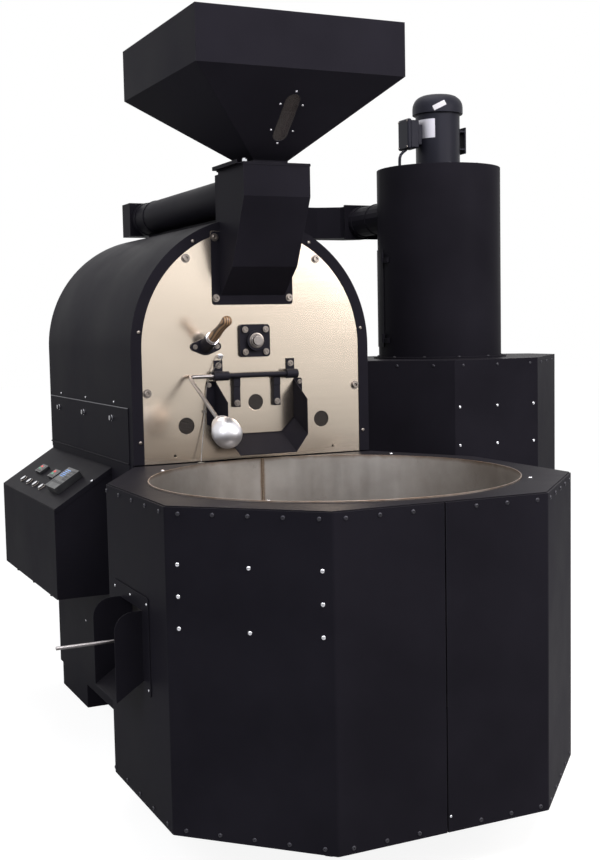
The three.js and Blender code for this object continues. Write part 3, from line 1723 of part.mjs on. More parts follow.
function feed() {
  const outer_profile = [
    [0, feed_bottom],
    [0, feed_plate_top],
    [feed_rear, feed_plate_top],
    [feed_rear, feed_top],
    [-feed_reach, feed_top],
    [-feed_reach, feed_upper_bend],
    [-feed_lower_reach, feed_lower_bend],
  ];
  const skin_profile = [
    [0, feed_bottom],
    [0, feed_top],
    [-feed_reach, feed_top],
    [-feed_reach, feed_upper_bend],
    [-feed_lower_reach, feed_lower_bend],
  ];
  // The hollow is the skin moved inwards, open at the top
  const hollow_profile = inset(skin_profile, sheet).map(([y, z]) => [
    Math.min(y, feed_rear - sheet),
    z > feed_top - sheet * 2 ? feed_top + overrun : z,
  ]);
  const inner_half = feed_half - sheet;
  const shell = prismX(outer_profile, -feed_half, feed_half);
  const hollow = prismX(hollow_profile, -inner_half, inner_half);
  const mouth_profile = [
    [overrun, feed_bottom + sheet * 2],
    [overrun, feed_opening_top],
    [feed_rear - sheet - overrun, feed_opening_top],
    [feed_rear - sheet - overrun, feed_bottom + sheet * 4],
  ];
  const mouth = prismX(mouth_profile, -inner_half, inner_half);
  const face_flange = prismY(
    roundedRectangle(
      -feed_plate_half,
      feed_plate_half,
      feed_plate_bottom,
      feed_plate_top,
      feed_plate_corner,
    ),
    -sheet,
    0,
  );
  const top_flange = block(
    -feed_half - feed_flange,
    feed_half + feed_flange,
    -feed_reach - feed_flange,
    feed_rear + feed_rear_flange,
    feed_top - sheet,
    feed_top,
  );
  const guide = (y0, y1) => block(
    -feed_half - feed_flange,
    feed_half + feed_flange,
    y0,
    y1,
    feed_top - overrun,
    guide_top,
  );
  const front_guide = guide(-feed_reach - feed_flange, -feed_reach - feed_flange + gate_guide_width);
  const rear_guide = guide(feed_rear + feed_rear_flange - gate_guide_width, feed_rear + feed_rear_flange);
  const body = join(shell, face_flange, top_flange, front_guide, rear_guide);
  piece("feed_chute", cut(body, hollow, mouth), black_coat);

  const plate_front = -feed_reach - feed_flange + gate_guide_width + seat_gap;
  const plate_back = feed_rear + feed_rear_flange - gate_guide_width - seat_gap;
  const plate_bottom = feed_top + seat_gap;
  const lip_x = -gate_plate_left;
  const plate = join(
    block(lip_x, gate_plate_right, plate_front, plate_back, plate_bottom, plate_bottom + sheet),
    block(lip_x, lip_x + sheet, plate_front, plate_back, plate_bottom, plate_bottom + gate_lip_height),
  );
  piece("slide_gate", plate, black_coat);

  const centre_y = -hopper_centre_reach;
  const outlet_y = -hopper_outlet_reach;
  const out = hopper_outlet_half;
  const into = hopper_half - sheet;
  const outer = join(
    loft(
      rectangle(0, outlet_y, out, out, hopper_neck),
      rectangle(0, centre_y, hopper_half, hopper_half, hopper_bend),
    ),
    block(
      -hopper_half,
      hopper_half,
      centre_y - hopper_half,
      centre_y + hopper_half,
      hopper_bend,
      hopper_top,
    ),
    block(-out, out, outlet_y - out, outlet_y + out, hopper_flange_bottom, hopper_neck),
    block(
      -feed_half - feed_flange,
      feed_half + feed_flange,
      -feed_reach - feed_flange,
      feed_rear + feed_rear_flange,
      hopper_flange_bottom,
      hopper_flange_bottom + sheet,
    ),
  );
  const in_out = out - sheet;
  const inner = join(
    loft(
      rectangle(0, outlet_y, in_out, in_out, hopper_neck),
      rectangle(0, centre_y, into, into, hopper_bend),
    ),
    block(-into, into, centre_y - into, centre_y + into, hopper_bend, hopper_top - sheet),
    block(
      -into + hopper_lip,
      into - hopper_lip,
      centre_y - into + hopper_lip,
      centre_y + into - hopper_lip,
      hopper_top - sheet * 2,
      hopper_top + overrun,
    ),
    block(
      -in_out,
      in_out,
      outlet_y - in_out,
      outlet_y + in_out,
      hopper_flange_bottom - overrun,
      hopper_neck,
    ),
  );
  // A slot with round ends on the sloping front wall, and the window that fills it
  const foot = at(0, outlet_y - out, hopper_neck);
  const head = at(0, centre_y - hopper_half, hopper_bend);
  const up = head.clone().sub(foot).normalize();
  const side = at(1, 0, 0);
  const normal = new THREE.Vector3().crossVectors(side, up);
  const slot = (margin, depth0, depth1) => {
    const half_w = window_width / 2 - margin;
    const straight = window_length / 2 - window_width / 2;
    const shape = new THREE.Shape();
    shape.absarc(0, straight, half_w, 0, half_turn, false);
    shape.absarc(0, -straight, half_w, half_turn, full_turn, false);
    const geometry = extruded(shape, depth1 - depth0, half_round_steps).translate(0, 0, depth0);
    geometry.applyMatrix4(new THREE.Matrix4().makeBasis(side, up, normal));
    const middle = foot.clone().lerp(head, window_rise_share);
    return solid(geometry.translate(...middle.toArray()));
  };
  piece("hopper", cut(outer, inner, slot(0, -sheet * 4, sheet * 4)), black_coat);
  piece("hopper_window", slot(window_margin, -sheet, -sheet / 3), dark_glass);
}

// Exhaust: a riser and pipe along the roof, a cross duct behind, and the inlet pipe of the cyclone
const duct_bottom = duct_height - duct_tall / 2;
const duct_top = duct_height + duct_tall / 2;

function exhaust() {
  const roof = housing_arch_height + housing_half;
  const roof_clearance = prismY(archOutline(-seat_gap), -overrun, housing_depth + overrun, arch_steps);
  const riser = block(-duct_half, duct_half, riser_front, riser_rear, roof - duct_half, duct_top);
  const w = duct_wall;
  const riser_hollow = block(
    -duct_half + w,
    duct_half - w,
    riser_front + w,
    riser_rear - w,
    roof - duct_half - overrun,
    duct_top - w,
  );
  const pipe_end = rear_duct_front - seat_gap;
  const pipe = barY(pipe_radius, riser_rear - w, pipe_end, 0, duct_height, pipe_sides);
  const collar = barY(
    pipe_radius + collar_stand,
    pipe_end - collar_length,
    pipe_end,
    0,
    duct_height,
    pipe_sides,
  );
  const t = saddle_thickness / 2;
  const saddle = block(
    -t,
    t,
    riser_rear - w,
    housing_depth - face_thickness,
    roof,
    duct_height - pipe_radius + w,
  );
  const pipe_hollow = barY(
    pipe_radius - pipe_wall,
    riser_rear - w - overrun,
    pipe_end + overrun,
    0,
    duct_height,
    pipe_sides,
  );
  const run = cut(join(riser, pipe, collar, saddle), riser_hollow, pipe_hollow, roof_clearance);
  piece("exhaust_pipe", run, black_coat);

  const elbow_point = ([x, y]) => [elbow_centre + x, rear_duct_line + y];
  const flange_left = elbow_centre - duct_half;
  const flange_right = elbow_centre + duct_half;
  const plan = [
    [-duct_half, rear_duct_front],
    [rear_duct_straight, rear_duct_front],
    elbow_point(elbow_first_way),
    [flange_left, elbow_flange_front],
    [flange_right, elbow_flange_front],
    [flange_right, rear_duct_line + elbow_end_way],
    elbow_point(elbow_bend_way),
    [elbow_centre + elbow_start_way, rear_duct_rear],
    [-duct_half, rear_duct_rear],
  ];
  const inner_plan = inset(plan, w);
  const inlet_hole = barY(
    pipe_radius - pipe_wall,
    rear_duct_front - overrun,
    rear_duct_front + w + overrun,
    0,
    duct_height,
    pipe_sides,
  );
  const mouth = block(
    flange_left + w,
    flange_right - w,
    elbow_flange_front - overrun,
    elbow_flange_front + w * 2,
    duct_bottom + w,
    duct_top - w,
  );
  const s = duct_flange_stand;
  const lip = block(
    flange_left - s,
    flange_right + s,
    elbow_flange_front,
    elbow_flange_front + duct_flange_thickness,
    duct_bottom - s,
    duct_top + s,
  );
  const duct = join(prismZ(plan, duct_bottom, duct_top), lip);
  const duct_hollow = prismZ(inner_plan, duct_bottom + w, duct_top - w);
  piece("exhaust_cross_duct", cut(duct, duct_hollow, inlet_hole, mouth), black_coat);

  const inlet_back = elbow_flange_front - seat_gap;
  const inlet_plate = block(
    flange_left - s,
    flange_right + s,
    inlet_back - duct_flange_thickness,
    inlet_back,
    duct_bottom - s,
    duct_top + s,
  );
  const inlet = join(
    inlet_plate,
    barY(pipe_radius, cyclone_y, inlet_back - w, elbow_centre, duct_height, pipe_sides),
    barY(
      pipe_radius + collar_stand,
      inlet_back - collar_length,
      inlet_back - w,
      elbow_centre,
      duct_height,
      pipe_sides,
    ),
  );
  const inlet_hollow = barY(
    pipe_radius - pipe_wall,
    cyclone_y - overrun,
    inlet_back + overrun,
    elbow_centre,
    duct_height,
    pipe_sides,
  );
  const cyclone_clearance = plug(
    cyclone_radius + seat_gap,
    cyclone_bottom,
    cyclone_top,
    cyclone_x,
    cyclone_y,
    large_sides,
  );
  piece("cyclone_inlet", cut(inlet, inlet_hollow, cyclone_clearance), black_coat);
}

// Cyclone barrel with its clean-out door, and the blower on top
const onCyclone = (radius, degrees, z) =>
  at(cyclone_x + radius * Math.cos(radians(degrees)), cyclone_y + radius * Math.sin(radians(degrees)), z);
const cyclone_hinge_degrees = cyclone_door_start_degrees + cyclone_hinge_turn_degrees;
const cyclone_hinge_line = cyclone_radius + sheet + cyclone_hinge_radius;

function sector(inner, outer, start, end, z0, z1) {
  const shape = new THREE.Shape();
  shape.absarc(0, 0, outer, radians(start), radians(end), false);
  shape.absarc(0, 0, inner, radians(end), radians(start), true);
  return prismZ(shape, z0, z1, half_round_steps).translate(cyclone_x, cyclone_y, 0);
}

function cyclone() {
  const inner = cyclone_radius - sheet;
  const door_end = cyclone_door_start_degrees - cyclone_door_span_degrees;
  const lap = cyclone_door_overlap_degrees;
  const floor_radius = cyclone_radius + cyclone_foot_width;
  const barrel = turned(
    [
      [cyclone_floor_hole_radius, cyclone_bottom],
      [floor_radius, cyclone_bottom],
      [floor_radius, cyclone_bottom + cyclone_foot_thickness],
      [cyclone_radius, cyclone_bottom + cyclone_foot_thickness],
      [cyclone_radius, cyclone_top],
      [blower_shaft_radius * 2, cyclone_top],
      [blower_shaft_radius * 2, cyclone_top - sheet],
      [inner, cyclone_top - sheet],
      [inner, cyclone_bottom + sheet],
      [cyclone_floor_hole_radius, cyclone_bottom + sheet],
      [cyclone_floor_hole_radius, cyclone_bottom],
    ],
    cyclone_x,
    cyclone_y,
    large_sides,
  );
  const clean_out = sector(
    inner - overrun * 2,
    cyclone_radius + overrun * 2,
    door_end + lap,
    cyclone_door_start_degrees - lap,
    cyclone_door_bottom + side_door_overlap,
    cyclone_door_top - side_door_overlap,
  );
  const inlet_port = barY(
    pipe_radius - pipe_wall,
    cyclone_y,
    cyclone_y + cyclone_radius,
    elbow_centre,
    duct_height,
    pipe_sides,
  );
  const hinge_heights = [
    cyclone_door_bottom + cyclone_hinge_inset,
    cyclone_door_top - cyclone_hinge_inset,
  ];
  const fixed_hinges = [];
  const door_hinges = [];
  const hinge = onCyclone(cyclone_hinge_line, cyclone_hinge_degrees, 0);
  const leaf_span = cyclone_hinge_leaf_degrees;
  for (const z of hinge_heights) {
    const half = cyclone_hinge_length / 2;
    const [low, high] = [z - half, z + half];
    const barrel_part = (a, b, r) => bar(r, hinge.clone().setZ(a), hinge.clone().setZ(b), small_sides);
    const leaf = (start, end, a, b) => sector(
      cyclone_radius - sheet / 2,
      cyclone_hinge_line,
      start,
      end,
      a,
      b,
    );
    fixed_hinges.push(barrel_part(low, z - seat_gap, cyclone_hinge_radius));
    fixed_hinges.push(leaf(cyclone_hinge_degrees, cyclone_hinge_degrees + leaf_span, low, z - seat_gap));
    fixed_hinges.push(barrel_part(low, high, cyclone_hinge_pin_radius));
    const turning = cut(
      barrel_part(z + seat_gap, high, cyclone_hinge_radius),
      bore(
        cyclone_hinge_pin_radius + running_gap,
        hinge.clone().setZ(low),
        hinge.clone().setZ(high + overrun),
        small_sides,
      ),
    );
    const strap = sector(
      cyclone_radius + seat_gap,
      cyclone_radius + seat_gap + sheet * 2,
      cyclone_door_start_degrees - lap,
      cyclone_hinge_degrees - lap / 6,
      z + seat_gap,
      high,
    );
    door_hinges.push(
      turning,
      cut(strap, barrel_part(low, high + overrun, cyclone_hinge_pin_radius + running_gap * 2)),
    );
  }
  piece("cyclone_body", join(cut(barrel, clean_out, inlet_port), ...fixed_hinges), black_coat);

  const skin_inner = cyclone_radius + seat_gap;
  const skin = sector(
    skin_inner,
    skin_inner + sheet,
    door_end,
    cyclone_door_start_degrees,
    cyclone_door_bottom,
    cyclone_door_top,
  );
  const latch_middle = (cyclone_door_bottom + cyclone_door_top) / 2;
  const latch = sector(
    skin_inner,
    skin_inner + latch_stand,
    door_end,
    door_end + THREE.MathUtils.radToDeg(latch_width / cyclone_radius),
    latch_middle - latch_height / 2,
    latch_middle + latch_height / 2,
  );
  piece("cyclone_door", join(skin, latch, ...door_hinges), black_coat);

  const motor_bottom = cyclone_top + seat_gap;
  const wheel_top = cyclone_top - sheet - blower_wheel_drop;
  const wheel_bottom = wheel_top - blower_wheel_height;
  const wheel = [
    barZ(blower_shaft_radius, wheel_bottom, motor_bottom - seat_gap, cyclone_x, cyclone_y),
    barZ(
      blower_wheel_radius,
      wheel_top - blower_disc_thickness,
      wheel_top,
      cyclone_x,
      cyclone_y,
      pipe_sides,
    ),
  ];
  for (let i = 0; i < blower_blade_count; i++) {
    const t = blower_disc_thickness / 2;
    const blade = block(
      blower_shaft_radius / 2,
      blower_wheel_radius - overrun,
      -t,
      t,
      wheel_bottom,
      wheel_top - blower_disc_thickness / 2,
    );
    wheel.push(blade.rotate(0, 0, (i * 360) / blower_blade_count).translate(cyclone_x, cyclone_y, 0));
  }
  piece("blower_wheel", join(...wheel), zinc_steel);

  const motor_top = motor_bottom + motor_length;
  const crown = motor_top + motor_cover_length;
  const crown_round = motor_cover_radius - motor_cover_crown_radius;
  const cover_profile = [
    [0, motor_bottom],
    [motor_flange_radius, motor_bottom],
    [motor_flange_radius, motor_bottom + motor_flange_thickness],
    [motor_radius, motor_bottom + motor_flange_thickness],
    [motor_radius, motor_top],
    [motor_cover_radius, motor_top],
  ];
  const round_steps = 6;
  for (let i = 0; i <= round_steps; i++) {
    const turn = (i * quarter_turn) / round_steps;
    cover_profile.push([
      motor_cover_crown_radius + crown_round * Math.cos(turn),
      crown - crown_round + crown_round * Math.sin(turn),
    ]);
  }
  cover_profile.push([0, crown]);
  const foot = (x0, x1, z0, z1) =>
    block(
      cyclone_x + x0,
      cyclone_x + x1,
      cyclone_y - motor_foot_half,
      cyclone_y + motor_foot_half,
      z0,
      z1,
    );
  const foot_inner = motor_foot_reach - motor_foot_thickness;
  const t = motor_foot_thickness;
  const web_bottom = motor_foot_bottom + t * 2;
  const web_top = motor_foot_top - t * 2;
  const motor = join(
    turned(cover_profile, cyclone_x, cyclone_y, pipe_sides),
    foot(foot_inner, motor_foot_reach, motor_foot_bottom, motor_foot_top),
    foot(0, foot_inner + overrun / 2, web_bottom, web_bottom + t),
    foot(0, foot_inner + overrun / 2, web_top - t, web_top),
  );
  piece("blower_motor", motor, black_cast);

  const box_plan = roundedRectangle(
    cyclone_x - terminal_reach,
    cyclone_x - terminal_inner,
    cyclone_y - terminal_half,
    cyclone_y + terminal_half,
    terminal_corner,
  );
  const neck_half = terminal_neck_half;
  const box = join(
    prismZ(box_plan, terminal_bottom, terminal_top),
    block(
      cyclone_x - terminal_inner - overrun,
      cyclone_x,
      cyclone_y - neck_half,
      cyclone_y + neck_half,
      terminal_bottom + neck_half,
      terminal_top - neck_half,
    ),
    bar(
      conduit_radius,
      at(cyclone_x - conduit_outer_reach, cyclone_y, motor_bottom),
      at(cyclone_x - conduit_inner_reach, cyclone_y, terminal_bottom + terminal_corner),
      small_sides,
    ),
  );
  const around_motor = plug(
    motor_radius + seat_gap,
    motor_bottom,
    crown,
    cyclone_x,
    cyclone_y,
    pipe_sides,
  );
  const below = block(0, cyclone_x, 0, cyclone_y + cyclone_radius, 0, motor_bottom);
  piece("terminal_box", cut(box, around_motor, below), black_cast);
}

// Chaff cabinet under the cyclone
function chaffCabinet() {
  const half_flat = chaff_front_flat / 2;
  const half = chaff_width / 2;
  const chamfer = chaff_chamfer;
  const plan = [
    [cyclone_x - half_flat, chaff_front],
    [cyclone_x + half_flat, chaff_front],
    [cyclone_x + half, chaff_front + chamfer],
    [cyclone_x + half, chaff_rear - chamfer],
    [cyclone_x + half_flat, chaff_rear],
    [cyclone_x - half_flat, chaff_rear],
    [cyclone_x - half, chaff_rear - chamfer],
    [cyclone_x - half, chaff_front + chamfer],
  ];
  const shell = cut(
    prismZ(plan, leg_height, chaff_top),
    prismZ(inset(plan, sheet), leg_height - overrun, chaff_top - sheet),
    barZ(
      cyclone_floor_hole_radius,
      chaff_top - sheet - overrun,
      chaff_top + overrun,
      cyclone_x,
      cyclone_y,
      pipe_sides,
    ),
  );
  const posts = [];
  const middle_y = (chaff_front + chaff_rear) / 2;
  for (const i of [-1, 1]) {
    for (const j of [-1, 1]) {
      const x = cyclone_x + i * half_flat;
      const y = middle_y + j * ((chaff_rear - chaff_front) / 2 - chaff_post_inset);
      const h = chaff_post / 2;
      posts.push(block(x - h, x + h, y - h, y + h, foot_pad_thickness / 2, chaff_top - sheet / 2));
      posts.push(barZ(foot_pad_radius, 0, foot_pad_thickness, x, y));
    }
  }
  piece("chaff_cabinet", join(shell, ...posts), black_coat);
}

// Console: a box with a sloping cover that holds the controls
const console_inner = housing_half + seat_gap;
const console_run = console_outer - console_inner;
const console_slope = Math.atan2(console_inner_top - console_outer_top, console_run);
const console_degrees = THREE.MathUtils.radToDeg(console_slope);

function controlConsole() {
  const outline = [
    [-console_outer, console_bottom],
    [-console_inner, console_bottom],
    [-console_inner, console_inner_top],
    [-console_outer, console_outer_top],
  ];
  const walls = inset(outline, sheet);
  const drop = console_cover_stand / Math.cos(console_slope);
  const lower = ([x, z]) => [x, z - drop];
  const body_outline = outline.map((p, i) => (i < 2 ? p : lower(p)));
  const hollow_outline = [
    walls[0],
    walls[1],
    [walls[2][0], console_inner_top + sheet * 4],
    [walls[3][0], console_outer_top + sheet * 4],
  ];
  const glands = [];
  for (let i = 0; i < 3; i++) {
    const y = gland_first + i * gland_pitch;
    glands.push(
      barZ(
        gland_radius,
        console_bottom - gland_stand,
        console_bottom + sheet,
        -console_outer + gland_inset,
        y,
        small_sides,
      ),
    );
  }
  const port = barX(
    console_port_radius,
    -console_inner - sheet - overrun,
    -console_inner + overrun,
    (console_front + console_rear) / 2,
    (console_bottom + console_outer_top) / 2,
    pipe_sides,
  );
  const body = join(
    cut(
      prismY(body_outline, console_front, console_rear),
      prismY(hollow_outline, console_front + sheet, console_rear - sheet),
      port,
    ),
    ...glands,
  );
  piece("console_body", body, black_coat);

  // The cover and its controls are built flat, x down the slope and z along its normal
  const down = at(-Math.cos(console_slope), 0, -Math.sin(console_slope));
  const out = at(-Math.sin(console_slope), 0, Math.cos(console_slope));
  const cover = new THREE.Group();
  cover.quaternion.setFromRotationMatrix(new THREE.Matrix4().makeBasis(down, at(0, -1, 0), out));
  cover.position.set(-console_inner, 0, console_inner_top);
  machine.add(cover);
  const slope_length = console_run / Math.cos(console_slope);
  const lip_front = console_front - seat_gap;
  const lip_rear = console_rear + seat_gap;
  const skin = console_cover_stand - seat_gap;
  const lip_bottom = -skin - console_cover_lip;
  const section = [
    [-lip_rear - sheet, 0],
    [-lip_rear - sheet, lip_bottom],
    [-lip_rear, lip_bottom],
    [-lip_rear, -skin],
    [-lip_front, -skin],
    [-lip_front, lip_bottom],
    [-lip_front + sheet, lip_bottom],
    [-lip_front + sheet, 0],
  ];
  const past_wall = block(-console_run, 0, -console_rear * 2, 0, -console_run, console_run);
  const plate = cut(prismX(section, 0, slope_length), past_wall.rotate(0, -console_degrees, 0));
  const holes = [];
  const buttons = [];
  for (let i = 0; i < 4; i++) {
    const v = -(switch_first + i * switch_pitch);
    holes.push(
      bore(
        switch_stem_radius + running_gap,
        at(switch_down, v, -skin - overrun),
        at(switch_down, v, overrun),
        rod_sides,
      ),
    );
    buttons.push(
      join(
        barZ(switch_stem_radius, -switch_stem_depth, switch_stand + overrun, switch_down, v, rod_sides),
        barZ(
          switch_head_radius,
          switch_stand,
          switch_stand + switch_head_thickness,
          switch_down,
          v,
          rod_sides,
        ),
      ),
    );
  }
  piece("console_cover", cut(plate, ...holes), black_coat, cover);
  buttons.forEach((shape, i) => piece("switch_" + (i + 1), shape, zinc_steel, cover));
  for (let i = 0; i < 2; i++) {
    const v = -(controller_first + i * controller_pitch);
    const long = controller_long / 2;
    const short = controller_short / 2;
    const unit = block(
      controller_down - short,
      controller_down + short,
      v - long,
      v + long,
      seat_gap,
      seat_gap + controller_stand,
    );
    piece("controller_" + (i + 1), unit, panel_plastic, cover);
  }
  const keypad = block(
    keypad_down - keypad_short / 2,
    keypad_down + keypad_short / 2,
    -keypad_centre - keypad_long / 2,
    -keypad_centre + keypad_long / 2,
    seat_gap,
    seat_gap + keypad_stand,
  );
  piece("program_controller", keypad, panel_plastic, cover);
}

binPanels();
binTopPlate();
binWall();
binFrame();
stirrer();
unloadChute();
baseCabinet();
housing();
drumAndDrive();
sideDoor();
dischargeDoor();
dischargeChute();
trier();
probe();
feed();
exhaust();
cyclone();
chaffCabinet();
controlConsole();

// The part's origin is the middle of its footprint on the floor
machine.updateMatrixWorld(true);
const reach = new THREE.Box3().setFromObject(machine, true);
const middle = reach.getCenter(new THREE.Vector3());
machine.position.set(-middle.x, -middle.y, -reach.min.z);

export default roaster;
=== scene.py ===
"""The looks of a drum coffee roaster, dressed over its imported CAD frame.

Sizes are millimetres in the machine's own frame, as in the part's source: X = 0 is the roaster's centre
plane, Y = 0 is the plane of its stainless face with -Y towards the cooling bin, and Z = 0 is the floor.
spot() turns such a place into the scene's metres.
"""

import logging
import math
from collections.abc import Callable, Iterator, Sequence
from contextlib import contextmanager
from dataclasses import dataclass, field
from enum import Enum

import bmesh
import bpy
from mathutils import Matrix, Vector


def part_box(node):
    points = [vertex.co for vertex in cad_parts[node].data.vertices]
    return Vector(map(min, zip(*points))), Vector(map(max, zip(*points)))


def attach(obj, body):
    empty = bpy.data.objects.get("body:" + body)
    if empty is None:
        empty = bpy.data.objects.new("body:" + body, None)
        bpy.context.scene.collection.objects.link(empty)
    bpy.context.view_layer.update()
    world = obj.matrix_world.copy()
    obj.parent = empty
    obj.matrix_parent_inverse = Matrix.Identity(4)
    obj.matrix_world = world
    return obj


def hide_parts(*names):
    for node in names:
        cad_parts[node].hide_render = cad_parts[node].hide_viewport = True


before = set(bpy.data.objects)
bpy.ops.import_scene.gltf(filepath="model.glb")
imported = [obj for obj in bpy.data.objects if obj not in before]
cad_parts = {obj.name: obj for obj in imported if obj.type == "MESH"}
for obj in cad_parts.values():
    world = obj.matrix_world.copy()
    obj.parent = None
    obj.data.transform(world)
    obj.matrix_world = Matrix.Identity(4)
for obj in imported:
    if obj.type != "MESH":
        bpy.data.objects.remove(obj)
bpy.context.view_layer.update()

MM = 0.001
SHELL_LOW, SHELL_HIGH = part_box("housing_shell")
ORIGIN = Vector(((SHELL_LOW.x + SHELL_HIGH.x) / 2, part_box("housing_rim")[1].y, 0.0))
FULL_TURN = 2 * math.pi
LOG = logging.getLogger("roaster")

Place = tuple[float, float, float]
Flat = tuple[float, float]
Colour = tuple[float, float, float]


class Body(Enum):
    """The moving bodies that a piece can ride on."""

    MACHINE = "machine"
    DRUM = "drum"
    DISCHARGE_DOOR = "discharge_door"
    TRIER = "trier"
    FEED_GATE = "feed_gate"
    UNLOAD_GATE = "unload_gate"
    STIRRER = "stirrer"
    SIDE_DOOR = "side_door"
    CYCLONE_DOOR = "cyclone_door"
    BLOWER = "blower"
    SWITCH_1 = "switch_1"
    SWITCH_2 = "switch_2"
    SWITCH_3 = "switch_3"
    SWITCH_4 = "switch_4"


class Slot(Enum):
    """The record's material slots."""

    POWDER_COAT = "black_powder_coat"
    BRUSHED = "brushed_stainless"
    RAW = "raw_stainless"
    BRIGHT = "bright_steel"
    CAST = "black_cast"
    GLASS = "dark_glass"
    ALUMINIUM = "turned_aluminium"
    WOOD = "laminated_wood"
    LEAD = "braided_lead"
    PLASTIC = "panel_plastic"


def spot(x: float, y: float, z: float) -> Vector:
    """Gives the scene's point, in metres, of a place in the machine's frame.

    Args:
        x: Millimetres right of the centre plane.
        y: Millimetres behind the face.
        z: Millimetres above the floor.

    Returns:
        The point in metres.
    """
    return ORIGIN + Vector((x, y, z)) * MM


def arc(centre: Flat, radius: float, start: float, end: float, steps: int) -> list[Flat]:
    """Gives the points of an arc, both ends among them.

    Args:
        centre: Middle of the arc.
        radius: Its radius.
        start: First angle in degrees.
        end: Last angle in degrees.
        steps: Number of chords.

    Returns:
        The points, steps + 1 of them.
    """
    turns = [math.radians(start + (end - start) * i / steps) for i in range(steps + 1)]
    return [(centre[0] + radius * math.cos(t), centre[1] + radius * math.sin(t)) for t in turns]


# Modelling bench

# Metres within which corners are the same, and the bend up to which faces are one flat
SAME_PLACE = 1e-7
SEAM_MERGE = 1e-6
COPY_MERGE = 2e-6
FLAT_ENOUGH = math.radians(0.4)
# Weight of large faces in the shading, where 50 is even, and the least share of Z in an upright edge
LARGE_FACES = 100
UPRIGHT = 0.99
# Millimetres that a cutter reaches beyond what it cuts
OVERRUN = 5


def clear() -> None:
    """Leaves edit mode and deselects everything."""
    if bpy.context.object and bpy.context.object.mode != "OBJECT":
        bpy.ops.object.mode_set(mode="OBJECT")
    bpy.ops.object.select_all(action="DESELECT")


